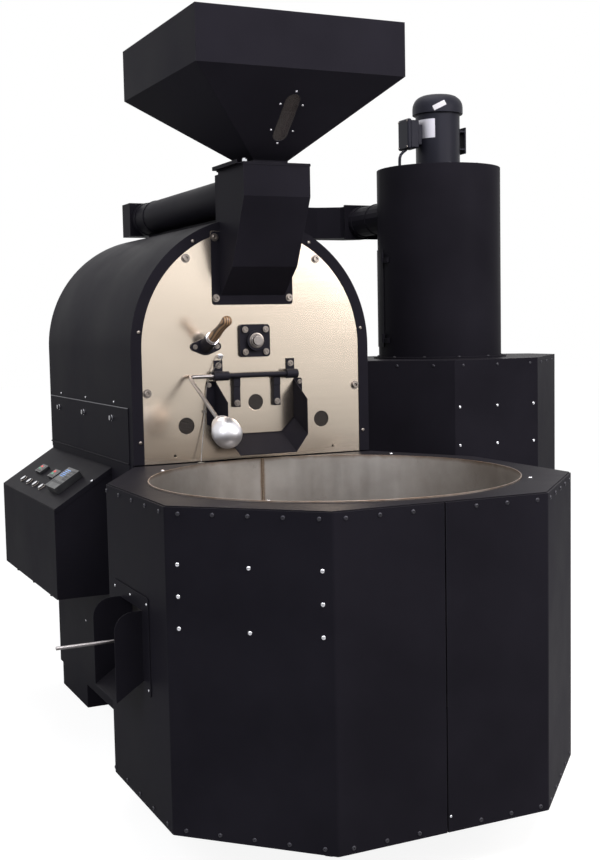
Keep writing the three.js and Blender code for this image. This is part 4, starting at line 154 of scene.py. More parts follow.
class Piece:
    """A piece on the bench, shaped with Blender's own tools."""

    def __init__(self, obj: bpy.types.Object) -> None:
        """Takes the object that is being shaped."""
        self.obj = obj

    @classmethod
    def added(cls, name: str) -> "Piece":
        """Names the primitive that was just added, and settles its place into its mesh."""
        obj = bpy.context.object
        obj.name = obj.data.name = name
        bpy.ops.object.transform_apply(location=True, rotation=True, scale=True)
        return cls(obj)

    @classmethod
    def block(cls, name: str, low: Place, high: Place) -> "Piece":
        """Starts from a block between two corners."""
        clear()
        a, b = spot(*low), spot(*high)
        bpy.ops.mesh.primitive_cube_add(size=1, location=(a + b) / 2, scale=b - a)
        return cls.added(name)

    @classmethod
    def rod(cls, name: str, start: Place, end: Place, radius: float, sides: int = 32) -> "Piece":
        """Starts from a round bar between two points."""
        clear()
        a, b = spot(*start), spot(*end)
        turn = (b - a).to_track_quat("Z", "Y").to_euler()
        bpy.ops.mesh.primitive_cylinder_add(
            vertices=sides, radius=radius * MM, depth=(b - a).length, location=(a + b) / 2, rotation=turn
        )
        return cls.added(name)

    @classmethod
    def line(cls, name: str, places: Sequence[Place], closed: bool = False) -> "Piece":
        """Draws a line of edges, one extruded point after the other.

        Args:
            name: The piece's name.
            places: The line's points.
            closed: Whether an edge joins the last point to the first.

        Returns:
            The piece, still a wire.
        """
        clear()
        points = [spot(*p) for p in places]
        bpy.ops.mesh.primitive_plane_add(size=MM, location=points[0])
        piece = cls.added(name)
        with piece.editing("VERT", "SELECT"):
            bpy.ops.mesh.merge(type="CENTER")
            for before, after in zip(points, points[1:]):
                bpy.ops.mesh.extrude_region_move(TRANSFORM_OT_translate={"value": after - before})
            if closed:
                ends = (points[0], points[-1])
                piece.pick(lambda co, _: any((co - end).length < SAME_PLACE for end in ends), "VERT")
                bpy.ops.mesh.edge_face_add()
        return piece

    @classmethod
    def tube(cls, name: str, places: Sequence[Place], radius: float, resolution: int) -> "Piece":
        """Draws a line, turns it into a curve with a round bevel, and that into a mesh again.

        Args:
            name: The piece's name.
            places: The points of its middle line.
            radius: The tube's radius.
            resolution: Steps of a quarter of its round.

        Returns:
            The tube, closed at both ends.
        """
        piece = cls.line(name, places)
        piece.hold()
        bpy.ops.object.convert(target="CURVE")
        curve = piece.obj.data
        curve.bevel_depth, curve.bevel_resolution, curve.use_fill_caps = radius * MM, resolution, True
        bpy.ops.object.convert(target="MESH")
        return piece.face_out()

    @classmethod
    def sheet(cls, name: str, places: Sequence[Place], travel: Place) -> "Piece":
        """Draws a flat outline, fills it and extrudes it along a straight way."""
        piece = cls.line(name, places, closed=True)
        with piece.editing("VERT", "SELECT"):
            bpy.ops.mesh.edge_face_add()
            bpy.ops.mesh.select_mode(type="FACE")
            bpy.ops.mesh.select_all(action="SELECT")
            bpy.ops.mesh.extrude_region_move(TRANSFORM_OT_translate={"value": Vector(travel) * MM})
        return piece.face_out()

    @classmethod
    def turned(
        cls,
        name: str,
        profile: Sequence[Flat],
        foot: Place,
        axis: Vector,
        steps: int = 64,
        closed: bool = False,
    ) -> "Piece":
        """Spins a profile of radius and height about an axis.

        Args:
            name: The piece's name.
            profile: Radius and height of each point.
            foot: The point on the axis where height is zero.
            axis: The axis, towards growing height.
            steps: Steps of the full turn.
            closed: Whether the profile closes on itself, as for a ring.

        Returns:
            The turned piece.
        """
        up = axis.normalized()
        out = up.orthogonal().normalized()
        places = [tuple(Vector(foot) + out * r + up * h) for r, h in profile]
        piece = cls.line(name, places, closed)
        with piece.editing("EDGE", "SELECT"):
            bpy.ops.mesh.spin(steps=steps, angle=FULL_TURN, center=spot(*foot), axis=up, use_auto_merge=True)
            bpy.ops.mesh.select_all(action="SELECT")
            bpy.ops.mesh.remove_doubles(threshold=SEAM_MERGE)
        return piece.face_out()

    @classmethod
    def refined(cls, node: str, rounding: float, segments: int = 2, smooth: float = 32) -> "Piece":
        """Takes a copy of a CAD node, merges it, and rounds its edges.

        Args:
            node: The CAD node.
            rounding: Width of the round on its edges.
            segments: Steps of that round.
            smooth: Largest angle, in degrees, that is rounded off and shaded smooth.

        Returns:
            The refined copy.
        """
        obj = bpy.data.objects.new(node + "_skin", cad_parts[node].data.copy())
        bpy.context.scene.collection.objects.link(obj)
        piece = cls(obj)
        piece.hold()
        bpy.ops.mesh.customdata_custom_splitnormals_clear()
        return piece.tidied().rounded(rounding, segments, smooth).smooth(smooth)

    def hold(self) -> None:
        """Makes the piece the active one and the only one selected."""
        clear()
        bpy.context.view_layer.objects.active = self.obj
        self.obj.select_set(True)

    @contextmanager
    def editing(self, kind: str = "FACE", action: str = "DESELECT") -> Iterator[None]:
        """Opens the piece in edit mode with nothing or all of it selected, and leaves it at the end."""
        self.hold()
        bpy.ops.object.mode_set(mode="EDIT")
        bpy.ops.mesh.select_mode(type=kind)
        bpy.ops.mesh.select_all(action=action)
        try:
            yield
        finally:
            bpy.ops.object.mode_set(mode="OBJECT")

    def pick(self, test: Callable[[Vector, Vector], bool], kind: str = "FACE") -> None:
        """Selects faces, edges or corners by place and normal, or an edge by place and direction.

        Args:
            test: Says of a middle and a direction whether that one is picked.
            kind: FACE, EDGE or VERT.
        """
        bpy.ops.mesh.select_mode(type=kind)
        bpy.ops.mesh.select_all(action="DESELECT")
        mesh = bmesh.from_edit_mesh(self.obj.data)
        if kind == "FACE":
            for face in mesh.faces:
                face.select_set(test(face.calc_center_median(), face.normal))
        elif kind == "EDGE":
            for edge in mesh.edges:
                a, b = (v.co for v in edge.verts)
                edge.select_set(test((a + b) / 2, (b - a).normalized()))
        else:
            for corner in mesh.verts:
                corner.select_set(test(corner.co, corner.normal))
        mesh.select_flush_mode()
        bmesh.update_edit_mesh(self.obj.data)

    def tidied(self) -> "Piece":
        """Dissolves what a cut left on flat faces."""
        with self.editing("VERT", "SELECT"):
            bpy.ops.mesh.remove_doubles(threshold=COPY_MERGE)
            bpy.ops.mesh.dissolve_limited(angle_limit=FLAT_ENOUGH)
        return self

    def face_out(self) -> "Piece":
        """Turns every face outwards."""
        with self.editing(action="SELECT"):
            bpy.ops.mesh.normals_make_consistent(inside=False)
        return self

    def _modifier(self, kind: str, **values: object) -> "Piece":
        """Adds one modifier, sets it and applies it."""
        self.hold()
        modifier = self.obj.modifiers.new(kind.title(), kind)
        for name, value in values.items():
            setattr(modifier, name, value)
        bpy.ops.object.modifier_apply(modifier=modifier.name)
        return self

    def rounded(self, width: float, segments: int = 2, angle: float = 32) -> "Piece":
        """Rounds the edges that are sharper than an angle."""
        if width <= 0:
            return self
        limit = {"limit_method": "ANGLE", "angle_limit": math.radians(angle)}
        return self._modifier("BEVEL", width=width * MM, segments=segments, **limit)

    def smooth(self, angle: float = 32) -> "Piece":
        """Shades the piece smooth up to an angle, with its large faces kept flat."""
        self.hold()
        bpy.ops.object.shade_smooth_by_angle(angle=math.radians(angle))
        return self._modifier("WEIGHTED_NORMAL", weight=LARGE_FACES, keep_sharp=True)

    def cut(self, *tools: "Piece") -> "Piece":
        """Cuts the tools out of the piece, one after the other, and throws them away."""
        for tool in tools:
            self._modifier("BOOLEAN", operation="DIFFERENCE", object=tool.obj, solver="EXACT")
            tool.remove()
        return self

    def remove(self) -> None:
        """Throws the piece away."""
        mesh = self.obj.data
        bpy.data.objects.remove(self.obj)
        bpy.data.meshes.remove(mesh)

    def copied(self, name: str, matrix: Matrix) -> "Piece":
        """Gives a copy with a mesh of its own, moved by a matrix."""
        obj = bpy.data.objects.new(name, self.obj.data.copy())
        obj.data.name = name
        obj.data.transform(matrix)
        bpy.context.scene.collection.objects.link(obj)
        return Piece(obj)

    def gathered(self, others: Sequence["Piece"]) -> "Piece":
        """Joins other pieces into this object, as a set of loose parts."""
        if not others:
            return self
        self.hold()
        for other in others:
            other.obj.select_set(True)
        bpy.ops.object.join()
        return self

    def dress(self, finish: "Finish", body: Body = Body.MACHINE, replaces: Sequence[str] = ()) -> "Piece":
        """Gives the piece its finish, the body that it rides on and the CAD nodes that it stands for."""
        self.obj.data.materials.clear()
        self.obj.data.materials.append(finish.material())
        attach(self.obj, body.value)
        if replaces:
            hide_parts(*replaces)
        LOG.info("%s: %d faces", self.obj.name, len(self.obj.data.polygons))
        return self


# Finishes

Node = bpy.types.Node
Socket = bpy.types.NodeSocket
Value = float | Colour | Sequence[float] | Socket


class Graph:
    """A node tree that is put together by naming each node's inputs."""

    def __init__(self, tree: bpy.types.NodeTree) -> None:
        """Takes the tree to fill."""
        self.tree = tree

    def add(self, kind: str, inputs: dict[str | int, Value] | None = None, **settings: object) -> Node:
        """Adds one node.

        Args:
            kind: The node's type, without its ShaderNode prefix.
            inputs: Values or sockets by input name or number.
            settings: The node's own settings.

        Returns:
            The node.
        """
        node = self.tree.nodes.new("ShaderNode" + kind)
        for name, value in settings.items():
            setattr(node, name, value)
        return self.fill(node, inputs or {})

    def fill(self, node: Node, inputs: dict[str | int, Value]) -> Node:
        """Sets or links a node's inputs, by name or number."""
        for name, value in inputs.items():
            socket = node.inputs[name]
            if isinstance(value, Socket):
                self.tree.links.new(value, socket)
            elif isinstance(value, tuple) and socket.type == "RGBA":
                socket.default_value = (*value, 1.0)[:4]
            else:
                socket.default_value = value
        return node

    def math(self, operation: str, a: Value, b: Value = 0.0) -> Socket:
        """Gives the result of one operation."""
        return self.add("Math", {0: a, 1: b}, operation=operation).outputs[0]

    def times(self, a: Value, b: Value) -> Socket:
        """Gives a product."""
        return self.math("MULTIPLY", a, b)

    def plus(self, a: Value, b: Value) -> Socket:
        """Gives a sum."""
        return self.math("ADD", a, b)

    def spread(self, value: Value, low: float, high: float, start: float = 0.0, end: float = 1.0) -> Socket:
        """Spreads low to high over start to end, and holds it there outside."""
        inputs = {"Value": value, "From Min": low, "From Max": high, "To Min": start, "To Max": end}
        return self.add("MapRange", inputs).outputs[0]

    def blend(self, share: Value, a: Value, b: Value) -> Socket:
        """Mixes two colours."""
        return self.add("Mix", {0: share, 6: a, 7: b}, data_type="RGBA").outputs[2]

    def noise(self, vector: Value, scale: float, detail: float = 3.0, roughness: float = 0.55) -> Socket:
        """Gives a grey noise."""
        inputs = {"Vector": vector, "Scale": scale, "Detail": detail, "Roughness": roughness}
        return self.add("TexNoise", inputs).outputs[0]

    def coordinates(
        self, scale: Place = (1.0, 1.0, 1.0), middle: Vector | None = None, turn: Place = (0.0, 0.0, 0.0)
    ) -> Socket:
        """Gives object coordinates, centred on a point, turned and stretched.

        Args:
            scale: Stretch along each axis.
            middle: The point that becomes zero, in metres.
            turn: Euler turn that lays the pattern's axes along the piece.

        Returns:
            The vector socket.
        """
        vector = self.add("TexCoord").outputs["Object"]
        if middle is not None:
            vector = self.add("Mapping", {"Vector": vector, "Location": tuple(-middle)}).outputs[0]
        if any(turn):
            vector = self.add("Mapping", {"Vector": vector, "Rotation": turn}).outputs[0]
        return self.add("Mapping", {"Vector": vector, "Scale": scale}).outputs[0]


Fill = Callable[[Graph, Node], dict[str, Value]]


def effect(name: str, outputs: Sequence[str], fill: Fill, **inputs: float) -> bpy.types.NodeTree:
    """Builds a shared effect as a node group, once.

    Args:
        name: The group's name.
        outputs: Names of its outputs, all plain values.
        fill: Fills the tree and gives each output's socket.
        inputs: Names and defaults of its inputs.

    Returns:
        The group.
    """
    tree = bpy.data.node_groups.get(name)
    if tree:
        return tree
    tree = bpy.data.node_groups.new(name, "ShaderNodeTree")
    for key, value in inputs.items():
        socket = tree.interface.new_socket(key, in_out="INPUT", socket_type="NodeSocketFloat")
        socket.default_value = value
    for key in outputs:
        tree.interface.new_socket(key, in_out="OUTPUT", socket_type="NodeSocketFloat")
    graph = Graph(tree)
    entry = tree.nodes.new("NodeGroupInput")
    made = fill(graph, entry)
    leave = tree.nodes.new("NodeGroupOutput")
    for key, value in made.items():
        tree.links.new(value, leave.inputs[key])
    return tree


def _fill_dust(graph: Graph, entry: Node) -> dict[str, Value]:
    """Dust lies where a face looks up, in soft patches."""
    up = graph.add("SeparateXYZ", {0: graph.add("NewGeometry").outputs["Normal"]}).outputs[2]
    level = graph.spread(up, 0.35, 0.98)
    patches = graph.spread(graph.noise(graph.coordinates(), 3.0, 5.0, 0.6), 0.32, 0.7, 0.35, 1.0)
    specks = graph.spread(graph.noise(graph.coordinates(), 260.0, 2.0), 0.56, 0.72)
    soft = graph.times(level, patches)
    both = graph.plus(soft, graph.times(specks, soft))
    return {"Mask": graph.times(both, entry.outputs["Amount"])}


def _fill_edge_highlight(graph: Graph, entry: Node) -> dict[str, Value]:
    """An edge is where the surface's rounded normal leaves its own one; the mask marks where a paler colour
    is painted as a highlight, patchy by noise.
    """
    rounded = graph.add("Bevel", {"Radius": entry.outputs["Width"]}, samples=4).outputs[0]
    sharp = graph.add("NewGeometry").outputs["Normal"]
    together = graph.add("VectorMath", {0: rounded, 1: sharp}, operation="DOT_PRODUCT").outputs["Value"]
    mask = graph.spread(together, 0.995, 0.9)
    # Noise makes the painted edge highlight patchy
    highlight_patches = graph.spread(graph.noise(graph.coordinates(), 14.0, 6.0, 0.65), 0.3, 0.65, 0.35, 1.0)
    return {"Mask": graph.times(mask, highlight_patches)}


def _fill_grain(graph: Graph, entry: Node) -> dict[str, Value]:
    """Fine beads of a sprayed coat, and a broad drift of its sheen."""
    fine = graph.noise(graph.coordinates(), 1100.0, 2.0)
    middle = graph.noise(graph.coordinates(), 190.0, 3.0)
    broad = graph.noise(graph.coordinates(), 2.2, 4.0, 0.6)
    height = graph.plus(graph.times(fine, 0.7), graph.times(middle, 0.3))
    return {"Height": height, "Drift": broad}


def _fill_brush(graph: Graph, entry: Node) -> dict[str, Value]:
    """Level lines of a brushed sheet: fine ones, narrow bands of them, and a soft cloud."""
    fine = graph.noise(graph.coordinates((3.0, 3.0, 1900.0)), 1.0, 2.0, 0.6)
    band = graph.noise(graph.coordinates((1.2, 1.2, 300.0)), 1.0, 3.0, 0.6)
    cloud = graph.noise(graph.coordinates((1.1, 1.1, 1.6)), 1.0, 3.0, 0.5)
    return {"Line": fine, "Band": band, "Cloud": cloud}


def use(graph: Graph, tree: bpy.types.NodeTree, **inputs: float) -> Node:
    """Adds a shared effect to a material."""
    node = graph.tree.nodes.new("ShaderNodeGroup")
    node.node_tree = tree
    return graph.fill(node, inputs)


def dust(graph: Graph, amount: float) -> Socket:
    """Gives the dust's mask."""
    return use(graph, effect("settled_dust", ["Mask"], _fill_dust, Amount=1.0), Amount=amount).outputs["Mask"]


def edges(graph: Graph, width: float) -> Socket:
    """Gives the mask of the edges that get a painted highlight."""
    tree = effect("edge_highlight", ["Mask"], _fill_edge_highlight, Width=0.002)
    return use(graph, tree, Width=width * MM).outputs["Mask"]


@dataclass(frozen=True)
class Finish:
    """A finish, whose material is made once and shared by its pieces."""

    name: str
    slot: Slot

    def material(self) -> bpy.types.Material:
        """Gives the finish's material, made at the first call."""
        made = bpy.data.materials.get(self.name)
        if made:
            return made
        made = bpy.data.materials.new(self.name)
        made.use_nodes = True
        graph = Graph(made.node_tree)
        shader = made.node_tree.nodes["Principled BSDF"]
        self.paint(graph, shader)
        return made

    def paint(self, graph: Graph, shader: Node) -> None:
        """Fills the material; each kind of finish has its own way."""
        raise NotImplementedError

    @staticmethod
    def set(graph: Graph, shader: Node, **values: Value) -> None:
        """Sets or links the shader's sockets, named with underscores for spaces."""
        graph.fill(shader, {name.replace("_", " "): value for name, value in values.items()})

    @staticmethod
    def bump(graph: Graph, height: Value, depth: float, strength: float = 1.0) -> Socket:
        """Gives the normal of a height of that many millimetres."""
        inputs = {"Height": height, "Distance": depth * MM, "Strength": strength}
        return graph.add("Bump", inputs).outputs[0]


@dataclass(frozen=True)
class Coat(Finish):
    """Sprayed and baked black coat, or the paint on a casting."""

    colour: Colour = (0.0088, 0.0082, 0.0111)
    # Paler colour painted along the edges as a highlight
    paler_tone: Colour = (0.03, 0.029, 0.033)
    dusty: Colour = (0.05, 0.045, 0.042)
    roughness: float = 0.42
    specular: float = 0.01
    sheen: Colour = (0.86, 0.86, 1.0)
    grain: float = 0.05
    dust_amount: float = 0.16
    edge_width: float = 2.4

    def paint(self, graph: Graph, shader: Node) -> None:
        """Black with a drifting sheen, paler along its edges as a painted highlight, and a little dusty on
        top.
        """
        grain = use(graph, effect("coat_grain", ["Height", "Drift"], _fill_grain))
        drift = grain.outputs["Drift"]
        deep = graph.blend(graph.spread(drift, 0.35, 0.65), self.colour, tuple(c * 1.35 for c in self.colour))
        # Painted highlight: edges mixed towards the paler colour
        edge_lit = graph.blend(graph.times(edges(graph, self.edge_width), 0.55), deep, self.paler_tone)
        colour = graph.blend(dust(graph, self.dust_amount), edge_lit, self.dusty)
        rough = graph.spread(drift, 0.3, 0.7, self.roughness - 0.05, self.roughness + 0.07)
        normal = self.bump(graph, grain.outputs["Height"], self.grain)
        self.set(graph, shader, Base_Color=colour, Roughness=rough, Normal=normal)
        self.set(graph, shader, Specular_IOR_Level=self.specular, Specular_Tint=self.sheen)


@dataclass(frozen=True)
class Steel(Finish):
    """Bare steel: rolled, brushed level, drawn or plated."""

    colour: Colour = (0.62, 0.56, 0.49)
    shade: Colour = (0.36, 0.31, 0.27)
    roughness: float = 0.3
    brushed: bool = False
    depth: float = 0.01
    wave: float = 0.0
    streaks: float = 0.25
    stains: float = 0.0
    tint_height: float = 0.0
    seam: Flat | None = None
    tint: Colour = (0.15, 0.085, 0.045)

    def paint(self, graph: Graph, shader: Node) -> None:
        """Metal with its lines, clouds and stains, and a heat tint under a weld where it has one."""
        if self.brushed:
            lines = use(graph, effect("brushed_lines", ["Line", "Band", "Cloud"], _fill_brush))
            line, band, cloud = (lines.outputs[n] for n in ("Line", "Band", "Cloud"))
        else:
            line = graph.noise(graph.coordinates((420.0, 420.0, 60.0)), 1.0, 3.0)
            band = graph.noise(graph.coordinates((34.0, 34.0, 3.0)), 1.0, 3.0)
            cloud = graph.noise(graph.coordinates(), 5.0, 5.0, 0.6)
        share = self.streaks
        both = graph.plus(graph.times(band, share), graph.times(cloud, 1.0 - share))
        colour = graph.blend(graph.spread(both, 0.34, 0.66), self.shade, self.colour)
        uneven = graph.plus(band, line)
        rough = graph.spread(uneven, 0.7, 1.3, self.roughness - 0.025, self.roughness + 0.03)
        if self.stains:
            spots = graph.spread(graph.noise(graph.coordinates(), 9.0, 6.0, 0.7), 0.6, 0.72)
            colour = graph.blend(graph.times(spots, self.stains), colour, (0.12, 0.1, 0.085))
            rough = graph.plus(rough, graph.times(spots, 0.12))
        if self.tint_height:
            z = graph.add("SeparateXYZ", {0: graph.coordinates()}).outputs[2]
            top = self.tint_height * MM
            uneven = graph.times(graph.noise(graph.coordinates(), 22.0, 5.0, 0.65), 0.02)
            heat = graph.spread(graph.plus(z, uneven), top - 0.004, top + 0.012)
            if self.seam:
                place = graph.coordinates(middle=spot(*self.seam, 0.0))
                x, y, _ = graph.add("SeparateXYZ", {0: place}).outputs
                off = graph.plus(graph.math("ABSOLUTE", x), graph.times(uneven, 0.4))
                beside, behind = graph.spread(off, 0.0085, 0.017, 1.0, 0.0), graph.spread(y, -0.05, -0.03)
                near = graph.times(beside, behind)
                heat = graph.math("MAXIMUM", heat, near)
            colour = graph.blend(graph.times(heat, 0.8), colour, self.tint)
        normal = self.bump(graph, line, self.depth)
        if self.wave:
            swell = graph.noise(graph.coordinates((0.7, 0.7, 2.6)), 1.0, 1.0)
            inputs = {"Height": swell, "Distance": self.wave * MM, "Strength": 1.0, "Normal": normal}
            normal = graph.add("Bump", inputs).outputs[0]
        self.set(graph, shader, Base_Color=colour, Metallic=1.0, Roughness=rough, Normal=normal)


@dataclass(frozen=True)
class Turned(Finish):
    """Metal turned on a lathe, with fine rings about its own axis."""

    colour: Colour = (0.14, 0.134, 0.142)
    roughness: float = 0.55
    foot: Place = (0.0, 0.0, 0.0)
    turn: Place = (0.0, 0.0, 0.0)

    def paint(self, graph: Graph, shader: Node) -> None:
        """Rings along the axis and a soft tarnish."""
        place = graph.coordinates(middle=spot(*self.foot), turn=self.turn)
        height = graph.add("SeparateXYZ", {0: place}).outputs[2]
        inputs = {"W": height, "Scale": 2600.0, "Detail": 2.0}
        rings = graph.add("TexNoise", inputs, noise_dimensions="1D").outputs[0]
        tarnish = graph.noise(graph.coordinates(), 26.0, 5.0, 0.6)
        dull = tuple(c * 0.72 for c in self.colour)
        colour = graph.blend(graph.spread(tarnish, 0.35, 0.7), self.colour, dull)
        uneven = graph.plus(rings, tarnish)
        rough = graph.spread(uneven, 0.7, 1.3, self.roughness - 0.06, self.roughness + 0.08)
        normal = self.bump(graph, rings, 0.012)
        self.set(graph, shader, Base_Color=colour, Metallic=1.0, Roughness=rough, Normal=normal)


@dataclass(frozen=True)
class Glass(Finish):
    """Dark glass with a little dust on it."""

    colour: Colour = (0.012, 0.01, 0.009)

    def paint(self, graph: Graph, shader: Node) -> None:
        """Smooth, dark and hazed by fine dust."""
        haze = graph.spread(graph.noise(graph.coordinates(), 22.0, 5.0, 0.6), 0.4, 0.75)
        colour = graph.blend(graph.times(haze, 0.35), self.colour, (0.06, 0.052, 0.045))
        rough = graph.spread(haze, 0.0, 1.0, 0.08, 0.3)
        self.set(graph, shader, Base_Color=colour, Roughness=rough, Coat_Weight=0.25)


@dataclass(frozen=True)
class Wood(Finish):
    """Strips of dark and light wood glued side by side and oiled."""

    foot: Place = (0.0, 0.0, 0.0)
    turn: Place = (0.0, 0.0, 0.0)
    dark: Colour = (0.035, 0.018, 0.01)
    light: Colour = (0.34, 0.2, 0.1)

    def paint(self, graph: Graph, shader: Node) -> None:
        """Stripes across the handle, with the wood's own grain along it."""
        place = graph.coordinates(middle=spot(*self.foot), turn=self.turn)
        across = graph.add("SeparateXYZ", {0: place}).outputs[0]
        along = graph.add("Mapping", {"Vector": place, "Scale": (900.0, 900.0, 28.0)}).outputs[0]
        grain = graph.noise(along, 1.0, 5.0, 0.6)
        strips = graph.math("FRACT", graph.plus(graph.math("DIVIDE", across, 0.0082), 10.5))
        stripe = graph.spread(graph.math("ABSOLUTE", graph.math("SUBTRACT", strips, 0.5)), 0.17, 0.2)
        colour = graph.blend(stripe, self.dark, self.light)
        colour = graph.blend(graph.spread(grain, 0.35, 0.7, 0.0, 0.55), colour, self.dark)
        normal = self.bump(graph, grain, 0.06)
        rough = graph.spread(grain, 0.3, 0.7, 0.4, 0.55)
        self.set(graph, shader, Base_Color=colour, Roughness=rough, Normal=normal)


@dataclass(frozen=True)
class Plastic(Finish):
    """Moulded instrument plastic with a fine spark-eroded grain."""

    colour: Colour = (0.011, 0.011, 0.013)
    roughness: float = 0.42
    glow: float = 0.0

    def paint(self, graph: Graph, shader: Node) -> None:
        """Grained plastic, or a lit figure where it glows."""
        fine = graph.noise(graph.coordinates(), 900.0, 3.0)
        wear = graph.spread(graph.noise(graph.coordinates(), 30.0, 4.0), 0.4, 0.7)
        paler_tone = tuple(c * 0.6 + 0.02 for c in self.colour)
        colour = graph.blend(graph.times(wear, 0.3), self.colour, paler_tone)
        rough = graph.spread(wear, 0.0, 1.0, self.roughness - 0.06, self.roughness + 0.08)
        self.set(graph, shader, Base_Color=colour, Roughness=rough, Normal=self.bump(graph, fine, 0.02))
        if self.glow:
            self.set(graph, shader, Emission_Color=colour, Emission_Strength=self.glow)


@dataclass(frozen=True)
class Perforated(Finish):
    """Rolled steel sheet punched with rows of small round holes."""

    pitch: float = 7.0
    hole: float = 2.2

    def paint(self, graph: Graph, shader: Node) -> None:
        """Dark dots in staggered rows on dull metal."""
        place = graph.coordinates((1000 / self.pitch, 1000 / self.pitch, 0.0))
        x, y, _ = graph.add("SeparateXYZ", {0: place}).outputs

        def dot(shift: float) -> Socket:
            """Gives the distance to the nearest hole of one of the two grids."""
            u = graph.math("SUBTRACT", graph.math("FRACT", graph.plus(x, 100 + shift)), 0.5)
            row = graph.plus(graph.math("DIVIDE", y, math.sqrt(3)), 100 + shift)
            v = graph.times(graph.math("SUBTRACT", graph.math("FRACT", row), 0.5), math.sqrt(3))
            return graph.math("SQRT", graph.plus(graph.times(u, u), graph.times(v, v)))

        near = graph.math("MINIMUM", dot(0.0), dot(0.5))
        edge = self.hole / self.pitch
        solid = graph.spread(near, edge - 0.05, edge + 0.05)
        cloud = graph.noise(graph.coordinates(), 6.0, 5.0, 0.6)
        metal = graph.blend(graph.spread(cloud, 0.35, 0.65), (0.3, 0.28, 0.26), (0.46, 0.44, 0.42))
        colour = graph.blend(solid, (0.01, 0.009, 0.008), metal)
        rough = graph.spread(cloud, 0.3, 0.7, 0.36, 0.5)
        metallic = graph.spread(solid, 0.0, 1.0, 0.2, 1.0)
        self.set(graph, shader, Base_Color=colour, Metallic=metallic, Roughness=rough)
        self.set(graph, shader, Normal=self.bump(graph, solid, 0.5))


COAT = Coat("black_coat", Slot.POWDER_COAT)
CAST = Coat("black_casting", Slot.CAST, roughness=0.5, grain=0.16, specular=0.08, dust_amount=0.22)
MOTOR_PAINT = Coat(
    "motor_paint", Slot.CAST, (0.0062, 0.0063, 0.0098), roughness=0.46, grain=0.1, specular=0.14
)
# The screws' paler edge colour is a painted highlight
BLACK_SCREW = Coat("black_screw", Slot.POWDER_COAT, roughness=0.34, specular=0.4, paler_tone=(0.09, 0.088, 0.088))
FACE_STEEL = Steel(
    "face_steel",
    Slot.BRUSHED,
    (0.83, 0.72, 0.6),
    (0.72, 0.615, 0.51),
    0.2,
    brushed=True,
    depth=0.0012,
    wave=0.55,
    streaks=0.12,
)
BIN_STEEL = Steel(
    "bin_steel",
    Slot.RAW,
    (0.41, 0.385, 0.365),
    (0.31, 0.285, 0.265),
    0.42,
    streaks=0.12,
    stains=0.35,
    tint_height=1155.3,
    seam=(5.5, -45),
)
DULL_STEEL = Steel("dull_steel", Slot.RAW, (0.42, 0.4, 0.38), (0.28, 0.26, 0.245), 0.38, stains=0.3)
SHAFT_STEEL = Steel("shaft_steel", Slot.BRIGHT, (0.3, 0.275, 0.26), (0.17, 0.155, 0.15), 0.36)
BRIGHT_STEEL = Steel("bright_steel", Slot.BRIGHT, (0.48, 0.47, 0.48), (0.33, 0.32, 0.33), 0.26)
ROD_STEEL = Steel("rod_steel", Slot.BRIGHT, (0.3, 0.28, 0.285), (0.2, 0.19, 0.19), 0.36)
BOLT_STEEL = Steel("bolt_steel", Slot.BRIGHT, (0.33, 0.295, 0.27), (0.19, 0.165, 0.15), 0.3)
# Pale grey copy of the black coat for the side door's top lip: a painted highlight along that edge, paler
# again on its rounds
LIP_HIGHLIGHT = Coat("lip_painted_highlight", Slot.POWDER_COAT, (0.07, 0.069, 0.075), (0.13, 0.128, 0.135), specular=0.5)
BLANK_PLATE = Steel("blank_plate", Slot.BRIGHT, (0.5, 0.49, 0.53), (0.42, 0.41, 0.45), 0.5, streaks=0.1)
WELD = Steel("weld_bead", Slot.RAW, (0.52, 0.45, 0.36), (0.2, 0.12, 0.07), 0.36)
SCREEN_STEEL = Perforated("punched_steel", Slot.RAW)
DARK_GLASS = Glass("dark_glass", Slot.GLASS)
BLACK_PLASTIC = Plastic("black_plastic", Slot.PLASTIC)
GREY_PLASTIC = Plastic("grey_plastic", Slot.PLASTIC, (0.03, 0.03, 0.033), 0.5)
COLLAR_PLASTIC = Plastic("white_collar", Slot.PLASTIC, (0.6, 0.58, 0.58), 0.38)
STICKER = Plastic("blank_sticker", Slot.PLASTIC, (0.5, 0.49, 0.52), 0.5)
RED_LIGHT = Plastic("red_figures", Slot.PLASTIC, (0.85, 0.05, 0.04), glow=0.8)
GREEN_LIGHT = Plastic("green_figures", Slot.PLASTIC, (0.08, 0.6, 0.3), glow=0.6)
BLUE_LIGHT = Plastic("blue_figures", Slot.PLASTIC, (0.1, 0.3, 0.75), glow=0.6)
LEAD_BRAID = Steel("lead_braid", Slot.LEAD, (0.22, 0.21, 0.2), (0.12, 0.115, 0.11), 0.4, depth=0.08)


# Fasteners

# Least upward share of a normal that marks a head's flat top
UPWARDS = 0.9
SOCKET_DEPTH_SHARE = 0.5
WASHER = 1.6
WASHER_CHAMFER = 0.8


